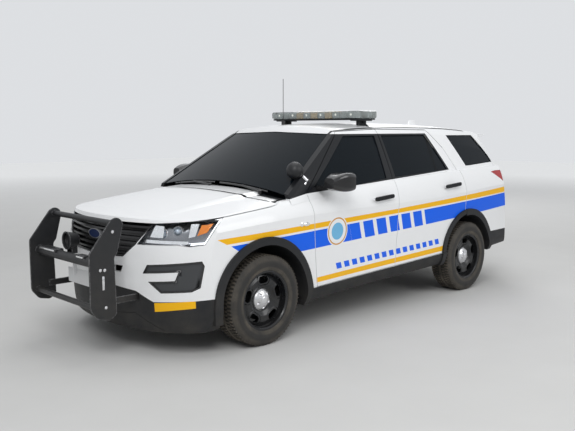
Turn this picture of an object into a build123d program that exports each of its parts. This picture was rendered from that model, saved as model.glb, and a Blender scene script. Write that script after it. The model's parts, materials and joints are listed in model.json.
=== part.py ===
"""A full-size police patrol car: five-door utility body, push bumper, roof light bar and pillar spotlight.

Units are millimetres. +X is forward, +Y is the car's left and +Z is up. The origin is on the ground under the
middle of the car, push bumper included. Tables give dx, which is the distance ahead of the front axle.
"""

import os
from math import cos, radians, sin
from build123d import *

# Layout
wheelbase = 2865
rear_overhang = 1212
guard_reach = 1250  # push bumper's front edge, ahead of the front axle
track = 1702
front_axle_x = (wheelbase + rear_overhang - guard_reach) / 2
rear_axle_x = front_axle_x - wheelbase

# Wheels
tyre_radius = 360
tyre_width = 245
tyre_shoulder = 26
rim_radius = 228
flange_radius = 240
hub_radius = 72
rim_width = 212
disc_offset = 40  # wheel disc's outer face, outboard of the tyre's middle
cap_radius = 84
vent_count = 5
vent_length = 96
vent_height = 56
vent_reach = 162  # middle of the wheel's vents, from its axis
stub_radius = 30
stub_clearance = 0.5
brake_radius = 165
pin_y = 790  # king-pin
pin_radius = 14
pin_length = 38
post_height = 108
arm_offset = 134  # wishbones, above and below the wheel's middle
arm_thickness = 26
subframe_y = 440
arch_radius = 440
flare_radius = 505
flare_stand = 20  # flare's thickness outside the body
cladding_stand = 7

# Panels
shut_gap = 6
panel_gap = 1.5
lip_depth = 10
lip_gap = 8
flare_lip = 12
roof_panel_y = 590
cowl_half_width = 860
rear_bumper_top = 736
tailgate_front_dx = -3436
floor_z = 366
load_floor_z = 626
firewall_top = 1060
sheet = 24
liner_rear_y = 640
liner_front_y = 500
liner_thickness = 6
hood_rear_dx = (-85, -205)
seat_gap = 0.3
hinge_heights = (520, 880)
hinge_height = 60
lower_wall = 75
upper_wall = 42
skin = 26
glass_depth = 9
glass_thickness = 5

# Body sections: dx, sill half-width and height, cladding half-width and height, shoulder half-width and
# height, belt half-width and height, height in the middle
BODY_SECTIONS = [
    (1040, 800, 190, 850, 400, 860, 880, 800, 962, 1004),
    (450, 900, 205, 948, 400, 950, 940, 880, 1045, 1108),
    (-350, 925, 262, 965, 430, 972, 990, 895, 1128, 1180),
    (-1600, 930, 320, 968, 450, 975, 1010, 908, 1216, 1256),
    (-2865, 930, 370, 968, 490, 970, 1050, 895, 1272, 1300),
    (-4150, 850, 420, 880, 540, 870, 1060, 800, 1285, 1310),
]
# Plan outlines: height, then dx of the nose in the middle and at plan_mid_y, and of the tail likewise
PLAN_SECTIONS = [
    (80, 830, 755, -3985, -3930),
    (430, 930, 855, -4040, -3985),
    (740, 950, 872, -4040, -3985),
    (900, 940, 860, -4028, -3970),
    (1035, 900, 815, -3998, -3935),
    (1400, 520, 420, -3880, -3800),
]
plan_mid_y = 500
plan_half_width = 1015
nose_corner_dx = 300
tail_corner_dx = -3480
# Glasshouse outlines: height, dx of the windscreen's middle, dx and half-width of the front pillar,
# half-width at the middle pillar, dx and half-width of the rear pillar, dx of the tail at tail_mid_y and
# in its middle
HOUSE_SECTIONS = [
    (1080, -40, -167, 925, 938, -3560, 900, -3880, -3925),
    (1380, -520, -630, 806, 830, -3490, 806, -3790, -3840),
    (1640, -945, -1032, 692, 712, -3310, 695, -3590, -3640),
    (1800, -1195, -1279, 600, 630, -3160, 610, -3420, -3470),
]
house_mid_dx = -1600
tail_mid_y = 480
pillar_corner = (60, 10)
# Roof sections: dx, height in the middle
ROOF_SECTIONS = [
    (-300, 1555),
    (-1000, 1714),
    (-1700, 1752),
    (-2700, 1746),
    (-3400, 1700),
    (-4000, 1610),
]
roof_crown = 34
roof_flat_y = 600
roof_corner = (112, 78)

# Outlines in the side view: dx, height
FRONT_DOOR = [
    (-572, 388),
    (-553, 724),
    (-536, 934),
    (-505, 1172),
    (-1105, 1668),
    (-1646, 1688),
    (-1656, 1225),
    (-1648, 737),
    (-1610, 428),
]
REAR_DOOR = [
    (-1616, 428),
    (-1654, 737),
    (-1662, 1225),
    (-1656, 1688),
    (-2440, 1680),
    (-2625, 1500),
    (-2765, 1260),
    (-2800, 1060),
    (-2800, 560),
    (-2380, 458),
]
FRONT_WINDOW = [(-600, 1208), (-1160, 1628), (-1590, 1632), (-1572, 1238), (-1129, 1200)]
REAR_WINDOW = [(-1706, 1246), (-1688, 1632), (-2395, 1632), (-2590, 1285), (-2380, 1272)]
MIDDLE_PILLAR = [(-1596, 330), (-1596, 1720), (-1706, 1720), (-1706, 330)]
QUARTER_WINDOW = [(-2772, 1628), (-3290, 1626), (-3540, 1330), (-3075, 1308), (-2960, 1306)]
FENDER_REAR = [(-566, 100), (-566, 388), (-547, 724), (-530, 934), (-499, 1172)]
HOOD_EDGE = [(1100, 1003), (777, 1008), (562, 1033), (361, 1048), (-100, 1092), (-164, 1104), (-215, 1130)]
BUMPER_EDGE = [(560, 858), (258, 775)]
ROCKER_TOP = [(-380, 380), (-572, 382), (-1612, 421), (-2380, 451), (-2450, 451)]
LAMP_SIDE = [(-3395, 1228), (-3500, 1238), (-4200, 1238), (-4200, 968), (-3690, 972), (-3655, 1103)]

# Outlines in the front view, left half: y, height
GRILLE = [(0, 1020), (620, 1020), (482, 846), (362, 746), (0, 736)]
VALANCE_TOP = [(0, 520), (226, 517), (468, 496), (610, 425), (863, 441), (1100, 470)]
BUMPER_SLOT = [(243, 626), (251, 677), (359, 678), (331, 626)]
SCREEN = [(0, 1120), (868, 1120), (640, 1650), (0, 1668)]
TAILGATE = [(0, 1800), (650, 1800), (650, 1240), (636, 1200), (636, 742), (0, 742)]

# Outlines on the nose's corner, seen at 45 degrees: distance across, height
HEADLIGHT = [
    (-118, 1020),
    (-183, 945),
    (-262, 850),
    (59, 857),
    (139, 844),
    (250, 857),
    (372, 1048),
    (198, 1060),
    (24, 1040),
]
FOG_BEZEL = [
    (-185, 704),
    (228, 738),
    (246, 701),
    (214, 538),
    (148, 508),
    (-82, 494),
    (-184, 577),
    (27, 593),
    (54, 657),
    (-222, 635),
]

# Push bumper: side plates in the side view, and cross tubes as dx, height and radius
GUARD_PLATE = [
    (1027, 1066),
    (985, 1042),
    (971, 1008),
    (1025, 800),
    (1050, 775),
    (1040, 350),
    (1099, 314),
    (1189, 333),
    (1244, 400),
    (guard_reach, 430),
    (guard_reach, 815),
    (1074, 1040),
]
GUARD_TUBES = [(1030, 1015, 22), (1165, 730, 36), (1190, 412, 22)]
guard_y = 474
guard_corner = 45
guard_plate = 12

# Number plate, behind the push bumper
plate_length = 520
plate_height = 114
plate_thickness = 6
plate_back_dx = 1100
plate_y = 146
plate_z = 577
plate_arm_y = 140  # arms, each side of the plate's middle
plate_arm_width = 16
plate_arm_top = 740

# Roof light bar
light_bar_dx = -1640
light_bar_length = 1180
light_bar_width = 300
light_bar_z = 1780
light_bar_height = 86
light_bar_foot = (120, 30)
light_bar_foot_y = light_bar_length / 2 - 75

# Whip antenna
whip_dx = -1250
whip_y = -160
whip_base_low = 1734
whip_base_top = 1772
whip_top = 2180

# Fin antenna, on a flat foot that lies along the roof
fin_dx = -3150
fin_foot_z = 1722.44
fin_foot_slope = 0.0747  # rise of the foot per length, forward
fin_length = 170
fin_width = 48
fin_height = 72

# Door mirrors: housing's front, widest place and back
mirror_dx = (-600, -690, -840)
mirror_y = 1062
mirror_z = 1256

# Cargo mat
mat_dx = -3360
mat_length = 680
mat_width = 1120
mat_thickness = 10

# More outlines in the side view
DASHBOARD = [(-560, 720), (-560, 1086), (-640, 1118), (-900, 1100), (-985, 1030), (-950, 850), (-800, 720)]
BENCH = [
    (-2200, 366),
    (-2180, 600),
    (-2230, 680),
    (-2640, 660),
    (-2860, 1190),
    (-2960, 1180),
    (-2790, 626),
    (-2345, 626),
    (-2345, 366),
]
SPOILER = [(-3440, 1900), (-3705, 1900), (-3705, 1644), (-3600, 1606), (-3440, 1606)]
spoiler_half_width = 640
dashboard_half_width = 735
REAR_SCREEN = [(0, 1600), (590, 1590), (600, 1330), (0, 1318)]
bumper_split_z = 578
lamp_inner_y = 656
front_handle_dx = -1418
front_handle_z = 1078
rear_handle_dx = -2524
rear_handle_z = 1130
handle_length = 259
handle_height = 36
grille_depth = 58
grille_frame = 16
slat_pitch = 40
slat_height = 15
emblem_width = 186
emblem_height = 76


def at(dx):
    """X in the part's frame of a place dx ahead of the front axle."""
    return front_axle_x + dx


def cross_arc(side_x, half_width, middle_x):
    """The arc across the car through both ends of a half-width and one point in the middle."""
    return ThreePointArc((side_x, -half_width), (middle_x, 0), (side_x, half_width))


def lower_body(inset=0):
    """The body below the glass: sections along the car, rounded in plan at nose and tail."""
    with BuildPart() as sides:
        for section in BODY_SECTIONS:
            dx, sill_y, sill_z, clad_y, clad_z, shoulder_y, shoulder_z, belt_y, belt_z, top_z = section
            sill = (sill_y - inset, sill_z + inset)
            clad = (clad_y - inset, clad_z)
            shoulder = (shoulder_y - inset, shoulder_z)
            belt = (belt_y - inset, belt_z - inset)
            with BuildSketch(Plane.YZ.offset(at(dx))):
                with BuildLine():
                    Line((-sill[0], sill[1]), sill)
                    SagittaArc(sill, clad, -16)
                    SagittaArc(clad, shoulder, 10)
                    SagittaArc(shoulder, belt, -14)
                    ThreePointArc(belt, (0, top_z - inset), (-belt[0], belt[1]))
                    SagittaArc((-shoulder[0], shoulder[1]), (-belt[0], belt[1]), 14)
                    SagittaArc((-clad[0], clad[1]), (-shoulder[0], shoulder[1]), -10)
                    SagittaArc((-sill[0], sill[1]), (-clad[0], clad[1]), 16)
                make_face()
        loft()
    with BuildPart() as plan:
        for z, nose_dx, nose_mid_dx, tail_dx, tail_mid_dx in PLAN_SECTIONS:
            y = plan_half_width - inset
            with BuildSketch(Plane.XY.offset(z)):
                with BuildLine():
                    nose_x = at(nose_mid_dx) - inset
                    tail_x = at(tail_mid_dx) + inset
                    nose = cross_arc(nose_x, plan_mid_y, at(nose_dx) - inset)
                    tail = cross_arc(tail_x, plan_mid_y, at(tail_dx) + inset)
                    for side, end in ((1, 1), (-1, 0)):
                        front = (at(nose_corner_dx), side * y)
                        back = (at(tail_corner_dx), side * y)
                        TangentArc(nose @ end, front, tangent=(nose % end) * side)
                        TangentArc(tail @ end, back, tangent=(tail % end) * side)
                        Line(front, back)
                make_face()
        loft()
    return sides.part & plan.part


def roof_form(inset=0):
    """Everything under the crowned roof surface, down to the door sills."""
    with BuildPart() as roof:
        for dx, top_z in ROOF_SECTIONS:
            z = top_z - inset
            edge_z = z - roof_crown
            corner = (roof_flat_y + roof_corner[0] - inset, edge_z - roof_corner[1])
            foot = (1080 - inset, 900)
            with BuildSketch(Plane.YZ.offset(at(dx))):
                with BuildLine():
                    crown = ThreePointArc((-roof_flat_y, edge_z), (0, z), (roof_flat_y, edge_z))
                    TangentArc(crown @ 1, corner, tangent=crown % 1)
                    Line(corner, foot)
                    Line(foot, (-foot[0], foot[1]))
                    Line((-foot[0], foot[1]), (-corner[0], corner[1]))
                    TangentArc(crown @ 0, (-corner[0], corner[1]), tangent=(crown % 0) * -1)
                make_face()
        loft()
    return roof.part


def glasshouse(inset=0):
    """The windows and roof: outlines stacked up the car, closed by the crowned roof."""
    with BuildPart() as walls:
        for section in HOUSE_SECTIONS:
            z, screen_dx, pillar_dx, pillar_y, middle_y, rear_dx, rear_y, tail_mid_dx, tail_dx = section
            pillar_x = at(pillar_dx) - inset
            tail_x = at(tail_mid_dx) + inset
            with BuildSketch(Plane.XY.offset(z)):
                with BuildLine():
                    ThreePointArc(
                        (pillar_x, inset - pillar_y), (at(screen_dx) - inset, 0), (pillar_x, pillar_y - inset)
                    )
                    tail = cross_arc(tail_x, tail_mid_y, at(tail_dx) + inset)
                    for side, end in ((1, 1), (-1, 0)):
                        corner = (pillar_x - pillar_corner[0], side * (pillar_y + pillar_corner[1] - inset))
                        rear = (at(rear_dx) + inset, side * (rear_y - inset))
                        Line((pillar_x, side * (pillar_y - inset)), corner)
                        ThreePointArc(corner, (at(house_mid_dx), side * (middle_y - inset)), rear)
                        TangentArc(tail @ end, rear, tangent=(tail % end) * side)
                make_face()
        loft()
    return walls.part & roof_form(inset)


def side_prism(points, inner_y, outer_y, grow=0):
    """An outline of the side view (dx, height), as a solid from inner_y to outer_y, grown all round."""
    with BuildPart() as prism:
        with BuildSketch(Plane.XZ.offset(-outer_y)):
            with BuildLine():
                Polyline(*[(at(dx), z) for dx, z in points], close=True)
            make_face()
            if grow:
                offset(amount=grow, kind=Kind.INTERSECTION)
        extrude(amount=outer_y - inner_y)
    return prism.part


def rounded_side_prism(points, inner_y, outer_y, radius):
    """An outline of the side view with rounded corners, as a solid from inner_y to outer_y."""
    with BuildPart() as prism:
        with BuildSketch(Plane.XZ.offset(-outer_y)):
            with BuildLine():
                FilletPolyline(*[(at(dx), z) for dx, z in points], radius=radius, close=True)
            make_face()
        extrude(amount=outer_y - inner_y)
    return prism.part


def front_prism(points, back_dx, front_dx, grow=0):
    """An outline of the front view (y, height), as a solid from back_dx to front_dx, grown all round."""
    with BuildPart() as prism:
        with BuildSketch(Plane.YZ.offset(at(back_dx))):
            with BuildLine():
                Polyline(*points, close=True)
            make_face()
            if grow:
                offset(amount=grow, kind=Kind.INTERSECTION)
        extrude(amount=front_dx - back_dx)
    return prism.part


def top_prism(points, low_z, high_z):
    """An outline of the top view (dx, y), as a solid from low_z to high_z."""
    with BuildPart() as prism:
        with BuildSketch(Plane.XY.offset(low_z)):
            with BuildLine():
                Polyline(*[(at(dx), y) for dx, y in points], close=True)
            make_face()
        extrude(amount=high_z - low_z)
    return prism.part


def wheel_cylinder(axle, radius, inner_y, outer_y):
    """A cylinder about a wheel's axis, from inner_y to outer_y."""
    with BuildPart() as drum:
        with BuildSketch(Plane.XZ.offset(-outer_y)):
            with Locations((axle, tyre_radius)):
                Circle(radius)
        extrude(amount=outer_y - inner_y)
    return drum.part


def both_sides(piece):
    """The piece and its mirror image across the car's middle, as separate solids."""
    return Compound(piece.solids() + mirror(piece, about=Plane.XZ).solids())


def box(low, high):
    """A block between two corners, given as dx, y, height."""
    size = [b - a for a, b in zip(low, high)]
    with BuildPart() as block:
        with Locations((at(low[0]), low[1], low[2])):
            Box(*size, align=(Align.MIN, Align.MIN, Align.MIN))
    return block.part


def hinge_leaves(front_dx, back_dx):
    """Two blocks at the heights of a door's hinges."""
    low, high = hinge_heights
    leaves = box((back_dx, 250, low), (front_dx, 1250, low + hinge_height))
    return leaves + box((back_dx, 250, high), (front_dx, 1250, high + hinge_height))


def hinge_pillar_block():
    """The front door's hinge pillar, behind the fender's rear edge, with leaves that reach the door."""
    block = side_prism([(-470, 396), (-470, 1110), (-620, 1110), (-620, 396)], 800, 1200)
    opening = side_prism(FRONT_DOOR, 200, 1300, grow=shut_gap)
    seat = side_prism(FRONT_DOOR, 200, 1300, grow=seat_gap - lip_gap)
    return (block - opening) + ((block & hinge_leaves(-470, -620)) - seat)


def hood_rear_form(gap):
    """Everything ahead of the hood's curved rear edge, grown backwards by a gap."""
    middle, end = hood_rear_dx
    with BuildPart() as form:
        with BuildSketch(Plane.XY.offset(900)):
            with BuildLine():
                ThreePointArc((at(end) - gap, -1150), (at(middle) - gap, 0), (at(end) - gap, 1150))
                Polyline((at(end) - gap, 1150), (at(1200), 1150), (at(1200), -1150), (at(end) - gap, -1150))
            make_face()
        extrude(amount=500)
    return form.part


def solid_at(depth, block):
    """What lies inside the block, at least this deep below the car's surface."""
    return (body[depth] & block) + (house[depth] & block)


def wall(block):
    """The car's full wall inside the block."""
    return solid_at(0, block) - body[lower_wall] - house[upper_wall]


def panel_skin(block):
    """The thin outer skin of the lower body inside the block."""
    return (body[0] & block) - body[skin]


def glass(block):
    """A pane inside the block, a little below the surface."""
    return (house[glass_depth] & block) - house[glass_depth + glass_thickness]


def save(piece, name):
    """Labels a finished piece and writes it."""
    piece.label = name
    export_step(piece, "parts/" + name + ".step")


def corner_mirror(piece):
    """The same opening on the car's other side."""
    return mirror(piece, about=Plane.XZ)


def rear_bulge():
    """The rear bumper's rounded middle, behind the body."""
    reach = wheelbase + rear_overhang
    with BuildPart() as bulge:
        for z, step in ((590, 22), (630, 0), (690, 0), (726, 22)):
            with BuildSketch(Plane.XY.offset(z)):
                with BuildLine():
                    tail = cross_arc(at(step + 58 - reach), 520, at(step - reach))
                    for side, end in ((1, 1), (-1, 0)):
                        TangentArc(tail @ end, (at(-3740), side * 880), tangent=(tail % end) * side)
                    Line((at(-3740), -880), (at(-3740), 880))
                make_face()
        loft(ruled=True)
    return bulge.part


def door(outline, window):
    """A left door as thick as the wall, with a thin lip outside its shut line and its window cut."""
    block = side_prism(outline, roof_panel_y + 10, 1200) - side_prism(window, 200, 1300)
    panel = wall(block - box((-1100, 500, 1000), (-400, 815, HOUSE_SECTIONS[0][0] + 1)))
    rim = side_prism(outline, 250, 1250, grow=1) - side_prism(outline, 240, 1260, grow=-lip_gap)
    rim += side_prism(MIDDLE_PILLAR, 250, 1250, grow=lip_gap)
    panel -= body[lip_depth] & rim
    return panel - (house[lip_depth] & rim)


def handle(dx, z):
    """A pull handle standing off a left door on two posts."""
    with BuildPart() as pull:
        with BuildSketch(Plane.XZ.offset(-1004)):
            with Locations((at(dx), z)):
                SlotOverall(handle_length, handle_height, rotation=-4)
        extrude(amount=18)
        for side in (-1, 1):
            with Locations((at(dx) + side * 100, 965, z - side * 7)):
                Box(34, 60, 22)
    return pull.part


def flare(axle):
    """A left wheel-arch flare, with its lip into the arch."""
    above_ground = box((-5000, 0, 244), (1400, 1200, 1000))
    solid = body[-flare_stand] & (ring(axle, arch_radius, flare_radius, 800, 1200) & above_ground)
    solid -= body[0] & ring(axle, arch_radius + flare_lip, flare_radius + 10, 700, 1210)
    return solid - body[skin]


def liner(axle, inner_y, low_z):
    """A left wheel liner: an arched shell with a wall on its inner side."""
    outer_radius = arch_radius + flare_lip
    shell = ring(axle, outer_radius - liner_thickness, outer_radius, inner_y, 1000)
    shell &= box((-5000, 0, 300), (1400, 1200, 1000))
    wall_disc = wheel_cylinder(axle, outer_radius, inner_y - liner_thickness, inner_y)
    wall_disc &= box((-5000, 0, low_z), (1400, 1200, 1000))
    return body[skin] & (shell + wall_disc)


def corner_prism(points, near=500, far=1400, grow=0):
    """An outline seen from 45 degrees off the left front corner, as a solid across that corner."""
    with BuildPart() as prism:
        with BuildSketch(Plane((at(0), 0, 0), x_dir=(-1, 1, 0), z_dir=(1, 1, 0)).offset(near)):
            with BuildLine():
                Polyline(*points, close=True)
            make_face()
            if grow:
                offset(amount=grow, kind=Kind.INTERSECTION)
        extrude(amount=far - near)
    return prism.part


def mirrored_outline(points):
    """A front-view outline made whole from its left half."""
    return points + [(-y, z) for y, z in reversed(points) if y > 0]


def ring(axle, inner_radius, outer_radius, inner_y, outer_y):
    """A ring about a wheel's axis."""
    return wheel_cylinder(axle, outer_radius, inner_y, outer_y) - wheel_cylinder(
        axle, inner_radius, inner_y - 1, outer_y + 1
    )


def tyre():
    """A tyre about the Y axis, centred on its own middle."""
    half = tyre_width / 2
    with BuildPart() as solid:
        with BuildSketch(Plane.XY):
            with BuildLine():
                Polyline(
                    (flange_radius + seat_gap, half - 12),
                    (flange_radius + seat_gap, rim_width / 2 - 8 - seat_gap),
                    (rim_radius + seat_gap, rim_width / 2 - 8 - seat_gap),
                    (rim_radius + seat_gap, 8 + seat_gap - rim_width / 2),
                    (flange_radius + seat_gap, 8 + seat_gap - rim_width / 2),
                    (flange_radius + seat_gap, 12 - half),
                )
                for side in (1, -1):
                    ThreePointArc(
                        (flange_radius + seat_gap, side * (half - 12)),
                        (flange_radius + 45, side * half),
                        (tyre_radius - tyre_shoulder, side * (half - 10)),
                    )
                    ThreePointArc(
                        (tyre_radius - tyre_shoulder, side * (half - 10)),
                        (tyre_radius - 9, side * (half - 19)),
                        (tyre_radius, side * (half - 38)),
                    )
                Line((tyre_radius, half - 38), (tyre_radius, 38 - half))
            make_face()
        revolve(axis=Axis.Y)
    return solid.part


def wheel():
    """A vented steel wheel with its cap and brake disc, about the Y axis, outboard side towards +Y."""
    flange = rim_width / 2
    with BuildPart() as solid:
        with BuildSketch(Plane.XY):
            with BuildLine():
                Polyline(
                    (rim_radius - 12, disc_offset + 18),
                    (rim_radius - 12, flange - 8),
                    (rim_radius - 4, flange),
                    (flange_radius, flange),
                    (flange_radius, flange - 8),
                    (rim_radius, flange - 8),
                    (rim_radius, 8 - flange),
                    (flange_radius, 8 - flange),
                    (flange_radius, -flange),
                    (rim_radius - 4, -flange),
                    (rim_radius - 12, 8 - flange),
                    (rim_radius - 12, disc_offset + 8),
                    (rim_radius - 22, disc_offset + 8),
                    (rim_radius - 60, disc_offset + 24),
                    (rim_radius - 96, disc_offset + 22),
                    (rim_radius - 130, disc_offset + 4),
                    (hub_radius, disc_offset + 4),
                    (hub_radius, disc_offset - 22),
                    (brake_radius, disc_offset - 22),
                    (brake_radius, disc_offset - 44),
                    (stub_radius + stub_clearance, disc_offset - 44),
                    (stub_radius + stub_clearance, disc_offset + 30),
                    (0, disc_offset + 30),
                    (0, disc_offset + 44),
                )
                ThreePointArc(
                    (0, disc_offset + 44),
                    (cap_radius * 0.6, disc_offset + 39),
                    (cap_radius, disc_offset + 18),
                )
                Polyline(
                    (cap_radius, disc_offset + 18),
                    (cap_radius, disc_offset + 13),
                    (rim_radius - 134, disc_offset + 13),
                    (rim_radius - 100, disc_offset + 31),
                    (rim_radius - 56, disc_offset + 34),
                    (rim_radius - 18, disc_offset + 18),
                    (rim_radius - 12, disc_offset + 18),
                )
            make_face()
        revolve(axis=Axis.Y)
        with BuildSketch(Plane.XZ.offset(-disc_offset - 60)):
            with PolarLocations(vent_reach, vent_count, start_angle=90):
                SlotOverall(vent_length, vent_height, rotation=90)
        extrude(amount=60, mode=Mode.SUBTRACT)
        with BuildSketch(Plane.XZ.offset(-disc_offset - 60)):
            with PolarLocations(57, vent_count, start_angle=54):
                Circle(13)
        extrude(amount=36, mode=Mode.SUBTRACT)
    return solid.part


def knuckle():
    """The left steering knuckle about its wheel's middle: stub, bearing carrier and king-pin post."""
    post_y = pin_y - track / 2
    with BuildPart() as solid:
        with BuildSketch(Plane.XZ.offset(-post_y)):
            Circle(stub_radius)
        extrude(amount=-(disc_offset + 22 - post_y))
        with BuildSketch(Plane.XZ.offset(-post_y)):
            Circle(52)
        extrude(amount=-(disc_offset - 50 - post_y))
        with BuildSketch(Plane.XY.offset(-post_height)):
            with Locations((0, post_y)):
                RectangleRounded(56, 46, 10)
        extrude(amount=2 * post_height)
        with BuildSketch(Plane.XY.offset(-post_height - pin_length)):
            with Locations((0, post_y)):
                Circle(pin_radius)
        extrude(amount=2 * (post_height + pin_length))
        with BuildSketch(Plane.XZ.offset(10 - post_y)):
            with BuildLine():
                Polyline((-20, 26), (-20, -26), (-126, -16), (-126, 16), close=True)
            make_face()
        extrude(amount=16)
    return solid.part


def wishbone(z):
    """One flat suspension arm, from the subframe out to an eye round the king-pin; left front."""
    with BuildPart() as arm:
        with BuildSketch(Plane.XY.offset(z - arm_thickness / 2)):
            with BuildLine():
                Polyline(
                    (at(190), subframe_y),
                    (at(38), pin_y),
                    (at(-38), pin_y),
                    (at(-190), subframe_y),
                    (at(-120), subframe_y),
                    (at(0), pin_y - 90),
                    (at(120), subframe_y),
                    close=True,
                )
            make_face()
            with Locations((at(0), pin_y)):
                Circle(38)
            with Locations((at(0), pin_y)):
                Circle(pin_radius + stub_clearance, mode=Mode.SUBTRACT)
        extrude(amount=arm_thickness)
    return arm.part


def seat(y):
    """A front seat: cushion, back and head restraint, centred on y."""
    with BuildPart() as solid:
        with BuildSketch(Plane.XZ.offset(-y - 235)):
            with BuildLine():
                FilletPolyline(
                    (at(-1280), 500),
                    (at(-1290), 640),
                    (at(-1790), 590),
                    (at(-1975), 1170),
                    (at(-2080), 1160),
                    (at(-1900), 440),
                    (at(-1330), 440),
                    radius=28,
                    close=True,
                )
            make_face()
        extrude(amount=470)
        with BuildSketch(Plane.XZ.offset(-y - 135)):
            with BuildLine():
                FilletPolyline(
                    (at(-1968), 1180),
                    (at(-1985), 1345),
                    (at(-2060), 1350),
                    (at(-2062), 1180),
                    radius=24,
                    close=True,
                )
            make_face()
        extrude(amount=270)
        with Locations((at(-2018), y, 1172)):
            Box(12, 150, 30)
        for side in (-1, 1):
            with Locations((at(-1590), y + side * 190, 404)):
                Box(480, 34, 76)
    return solid.part


os.makedirs("parts", exist_ok=True)

# Master forms at each depth below the car's surface
pillar_depth = lip_depth + lip_gap
outer_depths = (-flare_stand, -cladding_stand, -panel_gap, 0)
inner_depths = (panel_gap, lip_depth, pillar_depth, skin, grille_depth)
body = {depth: lower_body(depth) for depth in outer_depths + inner_depths}
house_depths = (0, glass_depth, lip_depth, glass_depth + glass_thickness, pillar_depth, upper_wall)
body[lower_wall] = lower_body(lower_wall)
body[skin + seat_gap] = lower_body(skin + seat_gap)
house = {depth: glasshouse(depth) for depth in house_depths}

# Openings
front_doorway = side_prism(FRONT_DOOR, 300, 1200, grow=shut_gap)
rear_doorway = side_prism(REAR_DOOR, 300, 1200, grow=shut_gap)
doorways = front_doorway + rear_doorway
pillar_back_dx = MIDDLE_PILLAR[-1][0]
middle_pillar = side_prism(MIDDLE_PILLAR, 250, 1250)
middle_pillar += hinge_leaves(pillar_back_dx + 1, pillar_back_dx - lip_gap + seat_gap)
front_arch = wheel_cylinder(front_axle_x, arch_radius + flare_lip, 400, 1200)
rear_arch = wheel_cylinder(rear_axle_x, arch_radius + flare_lip, 400, 1200)
hood_outline = HOOD_EDGE + [(-215, 1400), (1100, 1400)]
hood_opening = side_prism(hood_outline, -1200, 1200, grow=shut_gap)
screen_outline = mirrored_outline(SCREEN)
screen_opening = front_prism(screen_outline, -1080, 100)
roof_block = box((-3420, -roof_panel_y, 1560), (-880, roof_panel_y, 1900))
tailgate_outline = mirrored_outline(TAILGATE)
tailgate_opening = front_prism(tailgate_outline, -4300, tailgate_front_dx + shut_gap, grow=shut_gap)
gate_stop = box((-3885, TAILGATE[3][0] + seat_gap, 900), (-3300, 700, 960))
tailgate_opening -= both_sides(gate_stop)
headlight_opening = corner_prism(HEADLIGHT, grow=panel_gap)
grille_outline = mirrored_outline(GRILLE)
grille_opening = front_prism(grille_outline, 700, 1100, grow=panel_gap)
cowl_block = box((-560, -cowl_half_width, 1040), (0, cowl_half_width, 1300))
nose_block = side_prism(FENDER_REAR + [(-499, 1500), (1300, 1500), (1300, 100)], 0, 1200)
bumper_top = BUMPER_EDGE[0]
bumper_points = [(258, 100), BUMPER_EDGE[1], bumper_top, (bumper_top[0], 1100), (1300, 1100), (1300, 100)]
bumper_block = side_prism(bumper_points, -1200, 1200)
tail_block = box((-4400, 0, 100), (-3300, 1200, rear_bumper_top))
lamp_opening = side_prism(LAMP_SIDE, lamp_inner_y, 1200)
left_half = box((-4400, 0, 0), (1400, 1300, 2000))
side_block = box((-4300, 300, 100), (0, 1200, 1900))

# Body sides: pillars, roof rails, sills and rear quarters
side_wall = wall(side_block)
side_wall -= box((-4400, 0, 0), (-400, 800, 520))
side_wall -= doorways - middle_pillar
side_wall -= (doorways & middle_pillar) - body[pillar_depth] - house[pillar_depth]
side_wall -= body[-panel_gap] & nose_block
side_wall -= side_prism(QUARTER_WINDOW, 300, 1200)
side_wall -= roof_block
side_wall -= screen_opening
side_wall -= tailgate_opening
side_wall -= tail_block
side_wall -= rear_arch
side_wall -= lamp_opening

save(both_sides(side_wall), "body_sides")

# Roof panel between the rails
with BuildPart() as roof_panel:
    add((house[0] & roof_block) - house[upper_wall])
    add(screen_opening, mode=Mode.SUBTRACT)
roof_panel.part.label = "roof_panel"
export_step(roof_panel.part, "parts/roof_panel.step")

# Floor: cabin floor with its tunnel, firewall and the raised load floor; hinge pillars of the front doors
floor_profile = [
    (-2350, floor_z),
    (-2350, load_floor_z),
    (-3900, load_floor_z),
    (-3900, load_floor_z - sheet),
    (-2350 - sheet, load_floor_z - sheet),
    (-2350 - sheet, floor_z - sheet),
    (-560 + sheet, floor_z - sheet),
    (-560 + sheet, firewall_top),
    (-560, firewall_top),
    (-560, floor_z),
]
floor_plan = [(-300, -800), (-300, 800), (-3500, 800), (-3900, 500), (-3900, -500), (-3500, -800)]
hinge_pillar = (body[skin] & hinge_pillar_block()) - body[lower_wall]
with BuildPart() as floor_pan:
    add(side_prism(floor_profile, -800, 800) & top_prism(floor_plan, 300, 1200))
    add(wheel_cylinder(rear_axle_x, arch_radius + 20, liner_rear_y - 10, 900), mode=Mode.SUBTRACT)
    add(wheel_cylinder(rear_axle_x, arch_radius + 20, -900, 10 - liner_rear_y), mode=Mode.SUBTRACT)
    add(box((-2190, -140, floor_z - 60), (-560, 140, floor_z + 110)))
    add(box((-2160, -110, floor_z - 100), (-500, 110, floor_z + 80)), mode=Mode.SUBTRACT)
    add(box((-2300, 660, floor_z), (-600, 800, floor_z + 30)))
    add(box((-2300, -800, floor_z), (-600, -660, floor_z + 30)))
floor_pan.part.label = "floor_pan"
export_step(floor_pan.part, "parts/floor_pan.step")
save(both_sides(hinge_pillar), "hinge_pillars")

# Mat on the load floor
with BuildPart() as cargo_mat:
    with BuildSketch(Plane.XY.offset(load_floor_z + seat_gap)):
        with Locations((at(mat_dx), 0)):
            RectangleRounded(mat_length, mat_width, 40)
    extrude(amount=mat_thickness)
cargo_mat.part.label = "cargo_mat"
export_step(cargo_mat.part, "parts/cargo_mat.step")

# Front fenders
fender = panel_skin(nose_block)
fender -= bumper_block
fender -= box((-800, 0, 0), (1300, 1200, 378))
fender -= front_arch
fender -= hood_opening
fender -= headlight_opening
fender -= cowl_block
save(both_sides(fender), "front_fenders")

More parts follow.
